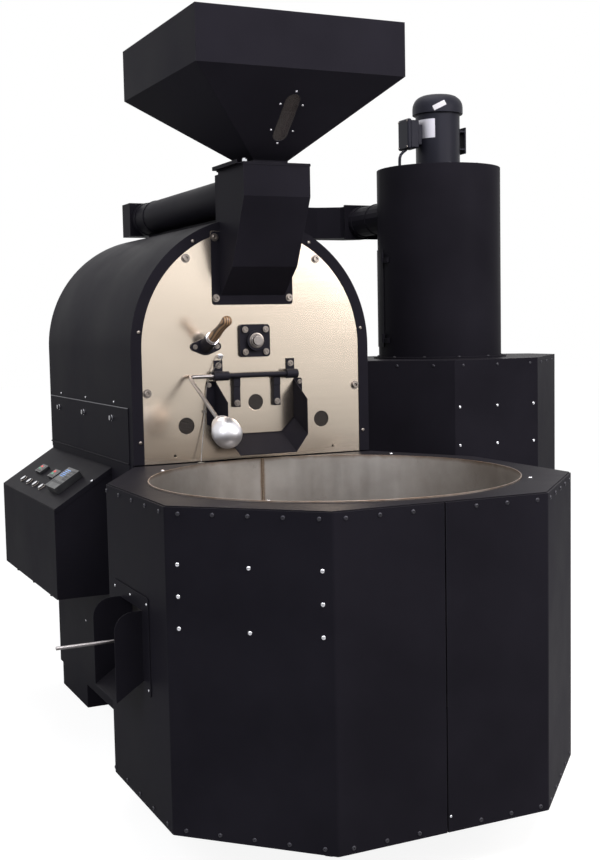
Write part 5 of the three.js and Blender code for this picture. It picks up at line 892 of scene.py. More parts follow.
class Fasteners:
    """Screws, bolts and rivets, each modelled once and copied to its places."""

    def __init__(self) -> None:
        """Models one of each kind."""
        self.dome = self._dome("dome_screw", radius=7.0, height=3.6, sides=12)
        self.small = self._dome("small_screw", radius=4.5, height=2.4, sides=10)
        self.large_bolt = self._socket("large_bolt", radius=12.0, height=11.0, washer=17.5)
        self.socket = self._socket("socket_bolt", radius=10.0, height=9.0, washer=15.0)
        self.short_bolt = self._socket("short_bolt", radius=8.6, height=6.5, washer=12.5)
        self.little_bolt = self._socket("little_bolt", radius=6.8, height=5.5, washer=9.6)
        self.hexagon = self._hexagon("hex_bolt", radius=11.0, height=10.8, washer=13.0)
        self.small_hexagon = self._hexagon("small_hex_bolt", radius=6.5, height=4.5, washer=8.0)
        self.cap_nut = self._cap_nut("cap_nut", radius=8.5, height=17.0)
        self.rivet = self._rivet("rivet", radius=4.6, height=2.4)

    @staticmethod
    def _start(name: str, radius: float, height: float, sides: int) -> Piece:
        """Adds a short bar that stands on the scene's origin."""
        clear()
        bpy.ops.mesh.primitive_cylinder_add(
            vertices=sides, radius=radius * MM, depth=height * MM, location=(0, 0, height * MM / 2)
        )
        return Piece.added(name)

    @staticmethod
    def _rise(height: float, share: float = 1.0) -> None:
        """Extrudes the picked top upwards and draws it in."""
        bpy.ops.mesh.extrude_region_move(TRANSFORM_OT_translate={"value": (0, 0, height * MM)})
        if share != 1.0:
            bpy.ops.transform.resize(value=(share, share, 1))

    def _head(
        self,
        name: str,
        radius: float,
        height: float,
        sides: int,
        foot_share: float,
        steps: Sequence[Flat],
        smooth: float,
        rim_share: float = 0.0,
        socket_share: float = 0.0,
    ) -> Piece:
        """Builds a head in steps that draw in as they rise.

        Args:
            name: The pattern's name.
            radius: Its radius.
            height: Its height.
            sides: Sides of its foot.
            foot_share: Height of the straight foot, as a share.
            steps: Rise and draw-in of each further step, as shares.
            smooth: Largest angle that is shaded smooth.
            rim_share: Width of a flat rim on the foot, as a share.
            socket_share: Width of the wall round a socket, as a share; none has no socket.

        Returns:
            The head.
        """
        piece = self._start(name, radius, height * foot_share, sides)
        with piece.editing():
            piece.pick(lambda co, n: n.z > UPWARDS)
            if rim_share:
                bpy.ops.mesh.inset(thickness=radius * rim_share * MM)
            for rise, share in steps:
                self._rise(height * rise, share)
            if socket_share:
                bpy.ops.mesh.inset(thickness=radius * socket_share * MM)
                self._rise(-height * SOCKET_DEPTH_SHARE)
        return piece.smooth(smooth)

    def _dome(self, name: str, radius: float, height: float, sides: int) -> Piece:
        """A low domed head with a socket."""
        steps = ((0.38, 0.84), (0.22, 0.66))
        return self._head(name, radius, height, sides, 0.4, steps, 50, socket_share=0.12)

    def _socket(self, name: str, radius: float, height: float, washer: float) -> Piece:
        """A tall round head with a deep socket, on a washer."""
        piece = self._start(name, washer, WASHER, 20)
        with piece.editing():
            piece.pick(lambda co, n: n.z > UPWARDS)
            bpy.ops.mesh.inset(thickness=WASHER_CHAMFER * MM)
            self._rise(0.6)
            bpy.ops.mesh.inset(thickness=(washer - WASHER_CHAMFER - radius) * MM)
            self._rise(height - 3.2)
            self._rise(1.0, 0.9)
            bpy.ops.mesh.inset(thickness=radius * 0.32 * MM)
            self._rise(-height * SOCKET_DEPTH_SHARE)
        return piece.smooth(40)

    def _hexagon(self, name: str, radius: float, height: float, washer: float) -> Piece:
        """A hexagon head on a washer."""
        piece = self._start(name, radius, height, 6)
        piece.rounded(0.8, 2)
        base = self._start(name + "_washer", washer, WASHER, 16)
        return piece.gathered([base]).smooth(35)

    def _cap_nut(self, name: str, radius: float, height: float) -> Piece:
        """A hexagon nut with a round cap."""
        steps = ((0.2, 0.94), (0.17, 0.82), (0.12, 0.66), (0.06, 0.45))
        return self._head(name, radius, height, 6, 0.45, steps, 40, rim_share=0.12)

    def _rivet(self, name: str, radius: float, height: float) -> Piece:
        """A low round head."""
        return self._head(name, radius, height, 10, 0.3, ((0.45, 0.82), (0.25, 0.6)), 60)

    @staticmethod
    def row(
        name: str,
        kind: Piece,
        places: Sequence[Place],
        normal: Place,
        finish: Finish,
        body: Body = Body.MACHINE,
    ) -> Piece:
        """Copies a fastener to each place of a row.

        Args:
            name: The row's name.
            kind: The fastener.
            places: Where each head sits.
            normal: The way the heads look.
            finish: Their finish.
            body: The body that they ride on.

        Returns:
            The row as one piece.
        """
        turn = Vector(normal).to_track_quat("Z", "Y").to_matrix().to_4x4()
        made = [
            kind.copied(f"{name}_{i}" if i else name, Matrix.Translation(spot(*place)) @ turn)
            for i, place in enumerate(places)
        ]
        return made[0].gathered(made[1:]).dress(finish, body)

    def put_away(self) -> None:
        """Removes the patterns once every row is in place."""
        for piece in vars(self).values():
            piece.remove()


def dress_refined(
    nodes: dict[str, float], finish: Finish, body: Body = Body.MACHINE, smooth: float = 32
) -> None:
    """Stands a refined copy in for each CAD node.

    Args:
        nodes: Edge rounding by node.
        finish: Their finish.
        body: The body that they ride on.
        smooth: Largest angle, in degrees, that is shaded smooth.
    """
    for node, rounding in nodes.items():
        Piece.refined(node, rounding, smooth=smooth).dress(finish, body, [node])


# Largest angle, in degrees, that is shaded smooth on folded sheet
FOLDED = 12.0


# Sub-assemblies


@dataclass
class CoolingBin:
    """The eight-sided bin with its round wall, screen, stirrer, unloading chute and gate."""

    front: float = -1400
    half_flat: float = 367.5
    side: float = 737.5
    side_front: float = -1030
    side_rear: float = -430
    rear_half: float = 508
    rear: float = -8
    plate_bottom: float = 1147.3
    plate_top: float = 1150.3
    plate_inset: float = 6
    cutter_bottom: float = 1140
    cutter_top: float = 1160
    centre: float = -679
    radius: float = 634
    wall: float = 4
    rim_top: float = 1155.3
    depth: float = 515
    screen_bottom: float = 632.3
    pan_bottom: float = 504.3
    pan_hole: float = 75
    ledge: float = 12
    chute_half: float = 117.5
    chute_bottom: float = 638.3
    chute_top: float = 787
    screw_rows: Flat = (169, 1128)
    corner_reach: float = 0.5
    lead_hole: Flat = (-249, -45)
    unload_face: float = -740.8

    def build(self, fasteners: Fasteners) -> None:
        """Builds the bin from its panels inwards."""
        self._panels()
        self._top_plate()
        self._wall()
        self._weld(fasteners)
        dress_refined({"bin_frame": 0.8, "stirrer_gearbox": 1.5}, CAST)
        dress_refined({"bin_stirrer": 1.0}, DULL_STEEL, Body.STIRRER)
        dress_refined({"unload_chute": 0.8}, COAT)
        dress_refined({"unload_gate": 0.6}, ROD_STEEL, Body.UNLOAD_GATE)
        Piece.refined("bin_screen", 0.4, 1).dress(SCREEN_STEEL, replaces=["bin_screen"])
        self._edge_screws(fasteners)
        self._field_screws(fasteners)

    def _panels(self) -> None:
        """The two folded panels with bent corners, their front cut flat for its screws."""
        outer = [spot(x, y, 0).xy for x, y in self._corners()]

        def near_corner(co: Vector) -> bool:
            """Says whether an upright edge stands on one of the outline's corners."""
            return any((co.xy - corner).length < self.corner_reach * MM for corner in outer)

        for node in ("bin_panel_left", "bin_panel_right"):
            piece = Piece.refined(node, 0.0)
            half = self.half_flat + 20
            bosses = Piece.block("boss_cutter", (-half, self.front - 30, 100), (half, self.front, 1200))
            piece.cut(bosses).tidied()
            with piece.editing("EDGE"):
                piece.pick(lambda co, way: abs(way.z) > UPRIGHT and near_corner(co), "EDGE")
                bpy.ops.mesh.bevel(offset=5 * MM, segments=4, affect="EDGES")
            piece.rounded(0.8, 2, 40).smooth(30).dress(COAT, replaces=[node])

    def _corners(self) -> list[Flat]:
        """The outline's eight corners."""
        right = [
            (self.half_flat, self.front),
            (self.side, self.side_front),
            (self.side, self.side_rear),
            (self.rear_half, self.rear),
        ]
        return right + [(-x, y) for x, y in reversed(right)]

    def _top_plate(self) -> None:
        """The flat plate round the wall's rim."""
        inset = self.plate_inset
        lean = math.tan(math.pi / 8) * inset
        back = math.hypot(self.side - self.rear_half, self.rear - self.side_rear)
        nx, ny = (self.rear - self.side_rear) / back, (self.side - self.rear_half) / back
        side, rear = self.side - inset, self.rear - inset
        # Where the inset sloping rear edge meets the inset side and the inset rear
        reach = nx * self.side + ny * self.side_rear - inset
        right = [
            (self.half_flat - lean, self.front + inset),
            (side, self.side_front + lean),
            (side, (reach - nx * side) / ny),
            ((reach - ny * rear) / nx, rear),
        ]
        outline = right + [(-x, y) for x, y in reversed(right)]
        thickness = self.plate_top - self.plate_bottom
        plate = Piece.sheet(
            "bin_top_plate_skin", [(x, y, self.plate_bottom) for x, y in outline], (0, 0, thickness)
        )
        outer = self.radius + self.wall + 0.6
        low, high = self.cutter_bottom, self.cutter_top
        hole = Piece.rod("rim_hole", (0, self.centre, low), (0, self.centre, high), outer, 160)
        lead = Piece.rod("lead_hole", (*self.lead_hole, low), (*self.lead_hole, high), 2.6, 16)
        plate.cut(hole, lead).rounded(0.8, 2).smooth().dress(COAT, replaces=["bin_top_plate"])

    def _wall(self) -> None:
        """The round stainless wall with its ledge and pan, open towards the chute."""
        outer = self.radius + self.wall
        ledge_top = self.screen_bottom - 0.3
        pan_top = self.pan_bottom + self.wall
        profile = [
            (self.pan_hole, self.pan_bottom),
            (outer, self.pan_bottom),
            (outer, self.rim_top - 0.8),
            (outer - 0.8, self.rim_top),
            (self.radius + 0.8, self.rim_top),
            (self.radius, self.rim_top - 0.8),
            (self.radius, ledge_top),
            (self.radius - self.ledge, ledge_top),
            (self.radius - self.ledge, ledge_top - 5),
            (self.radius, ledge_top - 5),
            (self.radius, pan_top),
            (self.pan_hole, pan_top),
        ]
        foot, up = (0, self.centre, 0), Vector((0, 0, 1))
        wall = Piece.turned("bin_wall_skin", profile, foot, up, 160, closed=True)
        inside = math.sqrt(self.radius**2 - (self.chute_half + 3) ** 2)
        port = Piece.block(
            "port",
            (-outer - 4, self.centre - self.chute_half, self.chute_bottom),
            (-inside + 4, self.centre + self.chute_half, self.chute_top),
        )
        wall.cut(port).smooth(30).dress(BIN_STEEL, replaces=["bin_wall"])

    def _weld(self, fasteners: Fasteners) -> None:
        """The ground seam of the rolled wall, a rippled bead on its inside with a nut at the foot of it."""
        turn = math.radians(89.5)
        reach = self.radius - 0.8
        x, y = reach * math.cos(turn), self.centre + reach * math.sin(turn)
        low, high = self.rim_top - self.depth, self.rim_top - 1
        bead = Piece.rod("wall_weld", (x, y, low), (x, y, high), 2.6, 8)
        ripples = 120
        with bead.editing("EDGE"):
            bead.pick(lambda co, way: abs(way.z) > UPRIGHT, "EDGE")
            bpy.ops.mesh.subdivide(number_cuts=ripples - 1)
            middle, pitch = spot(x, y, 0), (high - low) * MM / ripples
            bead.pick(lambda co, _: round((co.z - low * MM) / pitch) % 2 == 1, "VERT")
            bpy.ops.transform.resize(value=(0.72, 0.72, 1), center_override=middle)
        bead.smooth(60).dress(WELD)
        nut = (x, y - 0.8, high - 178)
        fasteners.row("wall_nut", fasteners.cap_nut, [nut], (0, -1, 0), BRIGHT_STEEL)

    def _edge_screws(self, fasteners: Fasteners) -> None:
        """Domed screws along the upper and lower edges of every panel but the front flat."""
        slant = math.sqrt(0.5)
        chamfer = [(-706, -1061.5), (-628, -1139.5), (-550, -1217.5), (-473, -1294.5), (-396, -1371.5)]
        run, rise = self.side - self.rear_half, self.rear - self.side_rear
        slope = Vector((rise, run, 0)).normalized()
        shares = (0.12, 0.37, 0.63, 0.88)
        for level, z in zip(("low", "high"), self.screw_rows):
            for side, s in (("left", -1), ("right", 1)):
                rows = {
                    "chamfer": ([(-s * x, y, z) for x, y in chamfer], (s * slant, -slant, 0)),
                    "side": ([(s * self.side, y, z) for y in (-983, -849, -713, -576, -439)], (s, 0, 0)),
                    "rear": (
                        [(s * (self.side - run * t), self.side_rear + rise * t, z) for t in shares],
                        (s * slope.x, slope.y, 0),
                    ),
                }
                for name, (places, normal) in rows.items():
                    label = f"screws_{side}_{name}_{level}"
                    fasteners.row(label, fasteners.dome, places, normal, BLACK_SCREW)

    def _field_screws(self, fasteners: Fasteners) -> None:
        """Screws of the front flat and its seam, of the plain field, the top plate and the chute's plate."""
        upper = [(s * x, self.front, 1129) for s in (-1, 1) for x in (108, 217.5, 327)]
        lower = [(x, self.front, 168) for x in (-318, -208.5, -99, 117, 226.5, 336)]
        fasteners.row("screws_front_high", fasteners.dome, upper, (0, -1, 0), BLACK_SCREW)
        fasteners.row("screws_front_low", fasteners.dome, lower, (0, -1, 0), BLACK_SCREW)
        seam = [(10, self.front, 199)]
        fasteners.row("screw_seam", fasteners.small, seam, (0, -1, 0), BRIGHT_STEEL)
        window = [(-710, 977), (-550, 977), (-391, 980), (-710, 881)]
        window += [(-391, 884), (-710, 785), (-550, 787), (-391, 789)]
        offset = self.half_flat - self.front
        field_places = [(x, -offset - x, z) for x, z in window]
        fasteners.row("screws_plain_field", fasteners.dome, field_places, (-1, -1, 0), BRIGHT_STEEL)
        top = [(x, y, self.plate_top) for x, y in ((-453, -189), (-436, -1110), (518, -160), (524, -1090))]
        fasteners.row("screws_top_plate", fasteners.dome, top, (0, 0, 1), BRIGHT_STEEL)
        marks = [(y, z) for y in (-845, -513) for z in (546, 818)] + [(self.centre, 818)]
        plate = [(self.unload_face, y, z) for y, z in marks]
        fasteners.row("screws_unload_plate", fasteners.small, plate, (-1, 0, 0), BRIGHT_STEEL)


@dataclass
class Housing:
    """The base cabinet, the arched shell with its rim, and the plates at both ends."""

    half: float = 503
    bottom: float = 1154
    arch: float = 1587
    depth: float = 1260
    rim_width: float = 43
    arch_steps: int = 64
    sheet: float = 3
    sunk: float = 0.3
    rim_thickness: float = 3
    face_thickness: float = 10
    door_face: float = -506.3
    door_front: float = 45
    door_rear: float = 1243
    door_top: float = 1369

    def outline(self, distance: float, bottom: float) -> list[Flat]:
        """The arch's outline, moved inwards by a distance."""
        half = self.half - distance
        return [(-half, bottom), (half, bottom), *arc((0, self.arch), half, 0, 180, self.arch_steps)]

    def arch_sheet(self, name: str, distance: float, bottom: float, front: float, travel: float) -> Piece:
        """A sheet or plug of the arch's outline, from a front plane backwards."""
        return Piece.sheet(name, [(x, front, z) for x, z in self.outline(distance, bottom)], (0, travel, 0))

    def build(self, fasteners: Fasteners) -> None:
        """Builds the housing from the base up."""
        dress_refined({"base_cabinet": 1.6}, COAT, smooth=FOLDED)
        self._shell()
        self._rim(fasteners)
        self._face()
        dress_refined({"rear_plate": 1.0}, COAT)
        dress_refined({"rear_bearing": 1.2, "drum_gearmotor": 2.0}, CAST)
        dress_refined({"drum": 0.0}, DULL_STEEL, Body.DRUM)
        dress_refined({"drum_shaft": 2.0}, SHAFT_STEEL, Body.DRUM)
        dress_refined({"burner_rack": 0.6}, DULL_STEEL)
        self._side_door(fasteners)
        marks = [(s * 480, z) for s in (-1, 1) for z in (1200, 1400, 1600)]
        marks += [(s * 270, 1985) for s in (-1, 1)]
        rear = [(x, self.depth - self.sunk, z) for x, z in marks]
        fasteners.row("rear_plate_screws", fasteners.dome, rear, (0, 1, 0), BLACK_SCREW)
        base = [(-self.half, 765, 398)]
        fasteners.row("base_screw", fasteners.small, base, (-1, 0, 0), BRIGHT_STEEL)

    def _shell(self) -> None:
        """The rolled shell, open at the side door and under the exhaust."""
        shell = self.arch_sheet("housing_shell_skin", 0, self.bottom, self.sunk, self.depth - self.sunk)
        under = self.bottom - OVERRUN
        hollow = self.arch_sheet("hollow", self.sheet, under, -OVERRUN, self.depth + 2 * OVERRUN)
        side = Piece.block("side_opening", (-510, 67, 1176), (-495, 1221, 1347))
        roof = Piece.block("roof_opening", (-70, 40, 1587), (70, 140, 2100))
        shell.cut(hollow, side, roof).rounded(0.7, 2).smooth(30)
        lips = []
        for s in (-1, 1):
            near, far = sorted((s * 501.5, s * 478))
            low, high = (near, 12.3, self.bottom), (far, 1248, self.bottom + self.sheet)
            lips.append(Piece.block("shell_lip", low, high).rounded(0.6))
        shell.gathered(lips).dress(COAT, replaces=["housing_shell"])

    def _rim(self, fasteners: Fasteners) -> None:
        """The flat rim round the face, with its bolts."""
        thick, under = self.rim_thickness, self.bottom - OVERRUN
        rim = self.arch_sheet("housing_rim_skin", 0, self.bottom, -thick, thick)
        start, travel = -thick - OVERRUN, thick + 2 * OVERRUN
        inner = self.arch_sheet("rim_inside", self.rim_width, under, start, travel)
        notch = Piece.block("rim_notch", (-173, -OVERRUN, self.arch), (173, 2, 2037))
        rim.cut(inner, notch).rounded(0.8, 2).smooth(30).dress(COAT, replaces=["housing_rim"])
        marks = ((244, 1997), (470, 1655), (475, 1238))
        places = [(s * x, -thick, z) for s in (-1, 1) for x, z in marks]
        fasteners.row("rim_screws", fasteners.dome, places, (0, -1, 0), BOLT_STEEL)
        bolts = [(s * x, self.sunk, z) for s in (-1, 1) for x, z in ((274, 1932), (442, 1423))]
        fasteners.row("face_bolts", fasteners.large_bolt, bolts, (0, -1, 0), BOLT_STEEL)

    def _face(self) -> None:
        """The brushed face plate with all its openings."""
        gap, thick = self.sheet + self.sunk, self.face_thickness
        face = self.arch_sheet("face_plate_skin", gap, self.bottom, self.sunk, thick)
        near, far = -OVERRUN, thick + OVERRUN
        port = [(-148, 1325), (-92, 1269), (92, 1269), (148, 1325), (148, 1450), (-148, 1450)]
        tools = [
            Piece.sheet("discharge_port", [(x, near, z) for x, z in port], (0, far - near, 0)),
            Piece.block("feed_port", (-131.5, near, 1796), (131.5, far, 1950)),
        ]
        rounds = [(0, 1614, 21.4), (-288, 1293, 32.3), (288, 1293, 32.3), (-337, 1180, 5), (337, 1180, 5)]
        rounds += [(-202, 1595, 22), (-145, 1557, 6.3)]
        for i, (x, z, radius) in enumerate(rounds):
            tools.append(Piece.rod(f"face_hole_{i}", (x, near, z), (x, far, z), radius, 48))
        face.cut(*tools).rounded(0.6, 2).smooth(30).dress(FACE_STEEL, replaces=["face_plate"])

    def _side_door(self, fasteners: Fasteners) -> None:
        """The burners' door with its upper lip in a pale grey that is a painted highlight, its bolts and the
        rivets over it.
        """
        dress_refined({"side_door": 0.7}, COAT, Body.SIDE_DOOR)
        dress_refined({"side_door_hinge": 0.4}, COAT)
        lip = Piece.block(
            "side_door_lip",
            (self.door_face - 1.2, self.door_front, self.door_top - 3.5),
            (self.door_face + 2.4, self.door_rear, self.door_top),
        )
        # The lip's pale grey is a painted highlight
        lip.rounded(0.9, 3).smooth(40).dress(LIP_HIGHLIGHT, Body.SIDE_DOOR)
        bolts = [(self.door_face, y, 1320) for y in (258, 672, 1086)]
        fasteners.row("side_door_bolts", fasteners.hexagon, bolts, (-1, 0, 0), BRIGHT_STEEL, Body.SIDE_DOOR)
        rivets = [(-self.half - 0.2, y, 1384) for y in (236, 648, 1056)]
        fasteners.row("rivets_side", fasteners.rivet, rivets, (-1, 0, 0), BRIGHT_STEEL)


@dataclass
class FaceFittings:
    """What is on the stainless face: bearing, discharge door and spout, lever, sampler, probe and glasses."""

    bearing: Place = (0, -20, 1614)
    bearing_hole: float = 43.5
    bend: Place = (-282, -30, 1481)
    fall: float = 26.5
    knob_centre: float = 410
    knob_radius: float = 53
    neck_radius: float = 33
    knob_length: float = 130
    rod_start: float = -180.3
    rod_radius: float = 7.5
    trier_seat: Place = (-202, 0, 1595)
    trier_tilt: float = 23
    handle_reach: float = 81.7

    def build(self, fasteners: Fasteners) -> None:
        """Builds the fittings from the face outwards."""
        dress_refined({"sight_glass_left": 0.5, "sight_glass_right": 0.5}, DARK_GLASS)
        dress_refined({"discharge_door": 0.8}, FACE_STEEL, Body.DISCHARGE_DOOR)
        dress_refined({"door_glass": 0.4}, DARK_GLASS, Body.DISCHARGE_DOOR)
        dress_refined({"door_shaft": 1.2}, CAST, Body.DISCHARGE_DOOR)
        dress_refined({"front_bearing": 1.8, "hinge_bracket_left": 1.2, "hinge_bracket_right": 1.2}, CAST)
        dress_refined({"discharge_chute": 0.8}, COAT, smooth=FOLDED)
        dress_refined({"trier_guide": 1.2}, CAST)
        dress_refined({"trier_scoop": 0.5}, BRIGHT_STEEL, Body.TRIER)
        dress_refined({"probe_fitting": 0.5}, BRIGHT_STEEL)
        dress_refined({"probe_cable": 0.0}, LEAD_BRAID)
        self._insert()
        self._lever()
        self._handle()
        self._bolts(fasteners)

    def _insert(self) -> None:
        """The bearing's steel insert with the locking collar on the shaft."""
        x, y, z = self.bearing
        way = Vector((0, -1, 0))
        ring = [(21.4, 0), (31, 0), (31, 9), (29.6, 11.2), (26.4, 11.8), (25.6, 10.2), (21.4, 10.2)]
        insert = Piece.turned("bearing_insert", ring, (x, y, z), way, 48, closed=True)
        insert.smooth(30).dress(BOLT_STEEL)
        collar = [(19.6, 0), (25, 0), (25, 5.6), (23.8, 6.8), (20.6, 6.8), (19.6, 5.8)]
        lock = Piece.turned("locking_collar", collar, (x, y - 11.2, z), way, 48, closed=True)
        lock.smooth(30).dress(SHAFT_STEEL, Body.DRUM)

    def _bolts(self, fasteners: Fasteners) -> None:
        """The bolts of the bearing, brackets, arms, spout and sampler."""
        x, y, z = self.bearing
        d = self.bearing_hole
        corners = [(x + i * d, y, z + k * d) for i in (-1, 1) for k in (-1, 1)]
        trier_x, _, trier_z = self.trier_seat
        rows = {
            "bearing_bolts": (fasteners.short_bolt, corners),
            "bracket_screws": (fasteners.short_bolt, [(s * 153, -6, 1521) for s in (-1, 1)]),
            "spout_screws": (fasteners.little_bolt, [(s * 193, -3, 1447) for s in (-1, 1)]),
            "sampler_screws": (fasteners.little_bolt, [(trier_x + s * 45, -8, trier_z) for s in (-1, 1)]),
        }
        for name, (kind, places) in rows.items():
            fasteners.row(name, kind, places, (0, -1, 0), BOLT_STEEL)
        arms = [(s * 85, -24, 1374) for s in (-1, 1)]
        fasteners.row("arm_bolts", fasteners.short_bolt, arms, (0, -1, 0), BOLT_STEEL, Body.DISCHARGE_DOOR)

    def _lever(self) -> None:
        """The bent rod and the turned weight on its end, with two flats milled on the neck."""
        fall = math.radians(self.fall)
        way = Vector((0, -math.cos(fall), -math.sin(fall)))
        start = self.knob_centre - self.knob_length / 2
        end = Vector(self.bend) + way * (start + 20)
        corner = 18.0
        first = Vector(self.bend) + Vector((corner, 0, 0))
        last = Vector(self.bend) + way * corner
        points = [Vector((self.rod_start, *self.bend[1:]))]
        for i in range(9):
            t = i / 8
            points.append(first.lerp(Vector(self.bend), t).lerp(Vector(self.bend).lerp(last, t), t))
        rod = Piece.tube("door_lever_skin", [tuple(p) for p in (*points, end)], self.rod_radius, 6)
        rod.smooth(50).dress(ROD_STEEL, Body.DISCHARGE_DOOR, ["door_lever"])
        self._knob(Vector(self.bend) + way * start, way)

    def _knob(self, foot: Vector, way: Vector) -> None:
        """The turned weight: a neck with two flats, a flaring cone and a ball end."""
        nose = self.knob_length - self.knob_radius
        profile = [(self.rod_radius, 0), (self.neck_radius - 2, 0), (self.neck_radius, 2)]
        profile += [(self.knob_radius - 1.5, nose * 0.68), (self.knob_radius, nose * 0.72)]
        profile += arc((0, nose), self.knob_radius, 0, 90, 16)
        knob = Piece.turned("lever_knob_skin", profile, tuple(foot), way, 72)
        across = Vector((1, 0, 0))
        up = across.cross(way)
        axes = Matrix((across, way, up)).transposed().to_4x4()
        for s in (-1, 1):
            centre = foot + way * 14 + up * s * (self.neck_radius + 17)
            clear()
            bpy.ops.mesh.primitive_cube_add(size=1)
            tool = Piece.added("flat_cutter")
            tool.obj.data.transform(Matrix.Diagonal((0.12, 0.034, 0.04, 1)))
            tool.obj.data.transform(Matrix.Translation(spot(*centre)) @ axes)
            knob.cut(tool.face_out())
        turn = way.to_track_quat("Z", "Y").inverted().to_euler()
        finish = Turned("turned_aluminium", Slot.ALUMINIUM, foot=tuple(foot), turn=tuple(turn))
        knob.rounded(0.8, 2).smooth(35).dress(finish, Body.DISCHARGE_DOOR, ["lever_knob"])

    def _handle(self) -> None:
        """The sampler's waisted wooden handle with the white collar at its foot."""
        tilt = math.radians(self.trier_tilt)
        way = Vector((0, -math.cos(tilt), math.sin(tilt)))
        foot = Vector(self.trier_seat) + way * self.handle_reach
        length, round_end = 183.0, 20.0
        profile = [(0, 0), (17.5, 0), (20, 2.5), (20, 30), (19.2, 48), (17.6, 68), (16.5, 92)]
        profile += [(16.6, 118), (17.8, 140), (19.4, 155)]
        profile += arc((0, length - round_end), round_end, 0, 90, 10)[1:]
        handle = Piece.turned("trier_handle_skin", profile, tuple(foot), way, 48)
        turn = way.to_track_quat("Z", "Y").inverted().to_euler()
        finish = Wood("striped_wood", Slot.WOOD, foot=tuple(foot), turn=tuple(turn))
        handle.smooth(40).dress(finish, Body.TRIER, ["trier_handle"])
        ring = [(16, 3), (20.6, 3), (21.4, 4), (21.4, 10), (20.6, 11), (16, 11)]
        collar = Piece.turned("handle_collar", ring, tuple(foot), way, 48, closed=True)
        collar.smooth(30).dress(COLLAR_PLASTIC, Body.TRIER)


@dataclass
class Feed:
    """The feed chute, its slide gate and the hopper."""

    half: float = 403
    centre: float = -105
    bend: float = 2558
    neck: float = 2283
    outlet_front: float = -200

    def build(self, fasteners: Fasteners) -> None:
        """Builds the feed from the face up."""
        dress_refined({"feed_chute": 1.0, "hopper": 1.2}, COAT, smooth=FOLDED)
        dress_refined({"slide_gate": 0.6}, COAT, Body.FEED_GATE)
        dress_refined({"hopper_window": 0.4}, DARK_GLASS)
        flange = [(s * 155, -3, z) for s in (-1, 1) for z in (1780, 2012)]
        fasteners.row("feed_flange_bolts", fasteners.socket, flange, (0, -1, 0), BOLT_STEEL)
        foot = Vector((0, self.outlet_front, self.neck))
        head = Vector((0, self.centre - self.half, self.bend))
        up = (head - foot).normalized()
        normal = Vector((1, 0, 0)).cross(up)
        out = normal if normal.y < 0 else -normal
        marks = [(s * 43.5, d) for s in (-1, 1) for d in (141, 258)] + [(0, 82), (0, 316)]
        places = [tuple(foot + up * d + Vector((x, 0, 0)) + out * 0.2) for x, d in marks]
        fasteners.row("window_screws", fasteners.small, places, tuple(out), BRIGHT_STEEL)
        nut = [(-126, -248, 2268.9)]
        fasteners.row("flange_nut", fasteners.cap_nut, nut, (0, 0, 1), BRIGHT_STEEL)


@dataclass
class Exhaust:
    """The ducts from the housing's roof to the cyclone, with a rolled bead at each pipe's joint."""

    pipe_radius: float = 75
    pipe_height: float = 2187
    pipe_joint: float = 1110
    inlet_x: float = 1115
    inlet_joint: float = 1008

    def build(self, fasteners: Fasteners) -> None:
        """Builds the ducts."""
        dress_refined({"exhaust_pipe": 0.9}, COAT)
        dress_refined({"exhaust_cross_duct": 0.9, "cyclone_inlet": 0.9}, COAT, smooth=FOLDED)
        inner, outer = self.pipe_radius - 1, self.pipe_radius + 2.4
        bead = [(inner, -3), (outer - 1, -3), (outer, -1.4), (outer, 1.4), (outer - 1, 3), (inner, 3)]
        for name, x, y in (("pipe_bead", 0, self.pipe_joint), ("inlet_bead", self.inlet_x, self.inlet_joint)):
            ring = Piece.turned(name, bead, (x, y, self.pipe_height), Vector((0, 1, 0)), 64, closed=True)
            ring.smooth(40).dress(COAT)


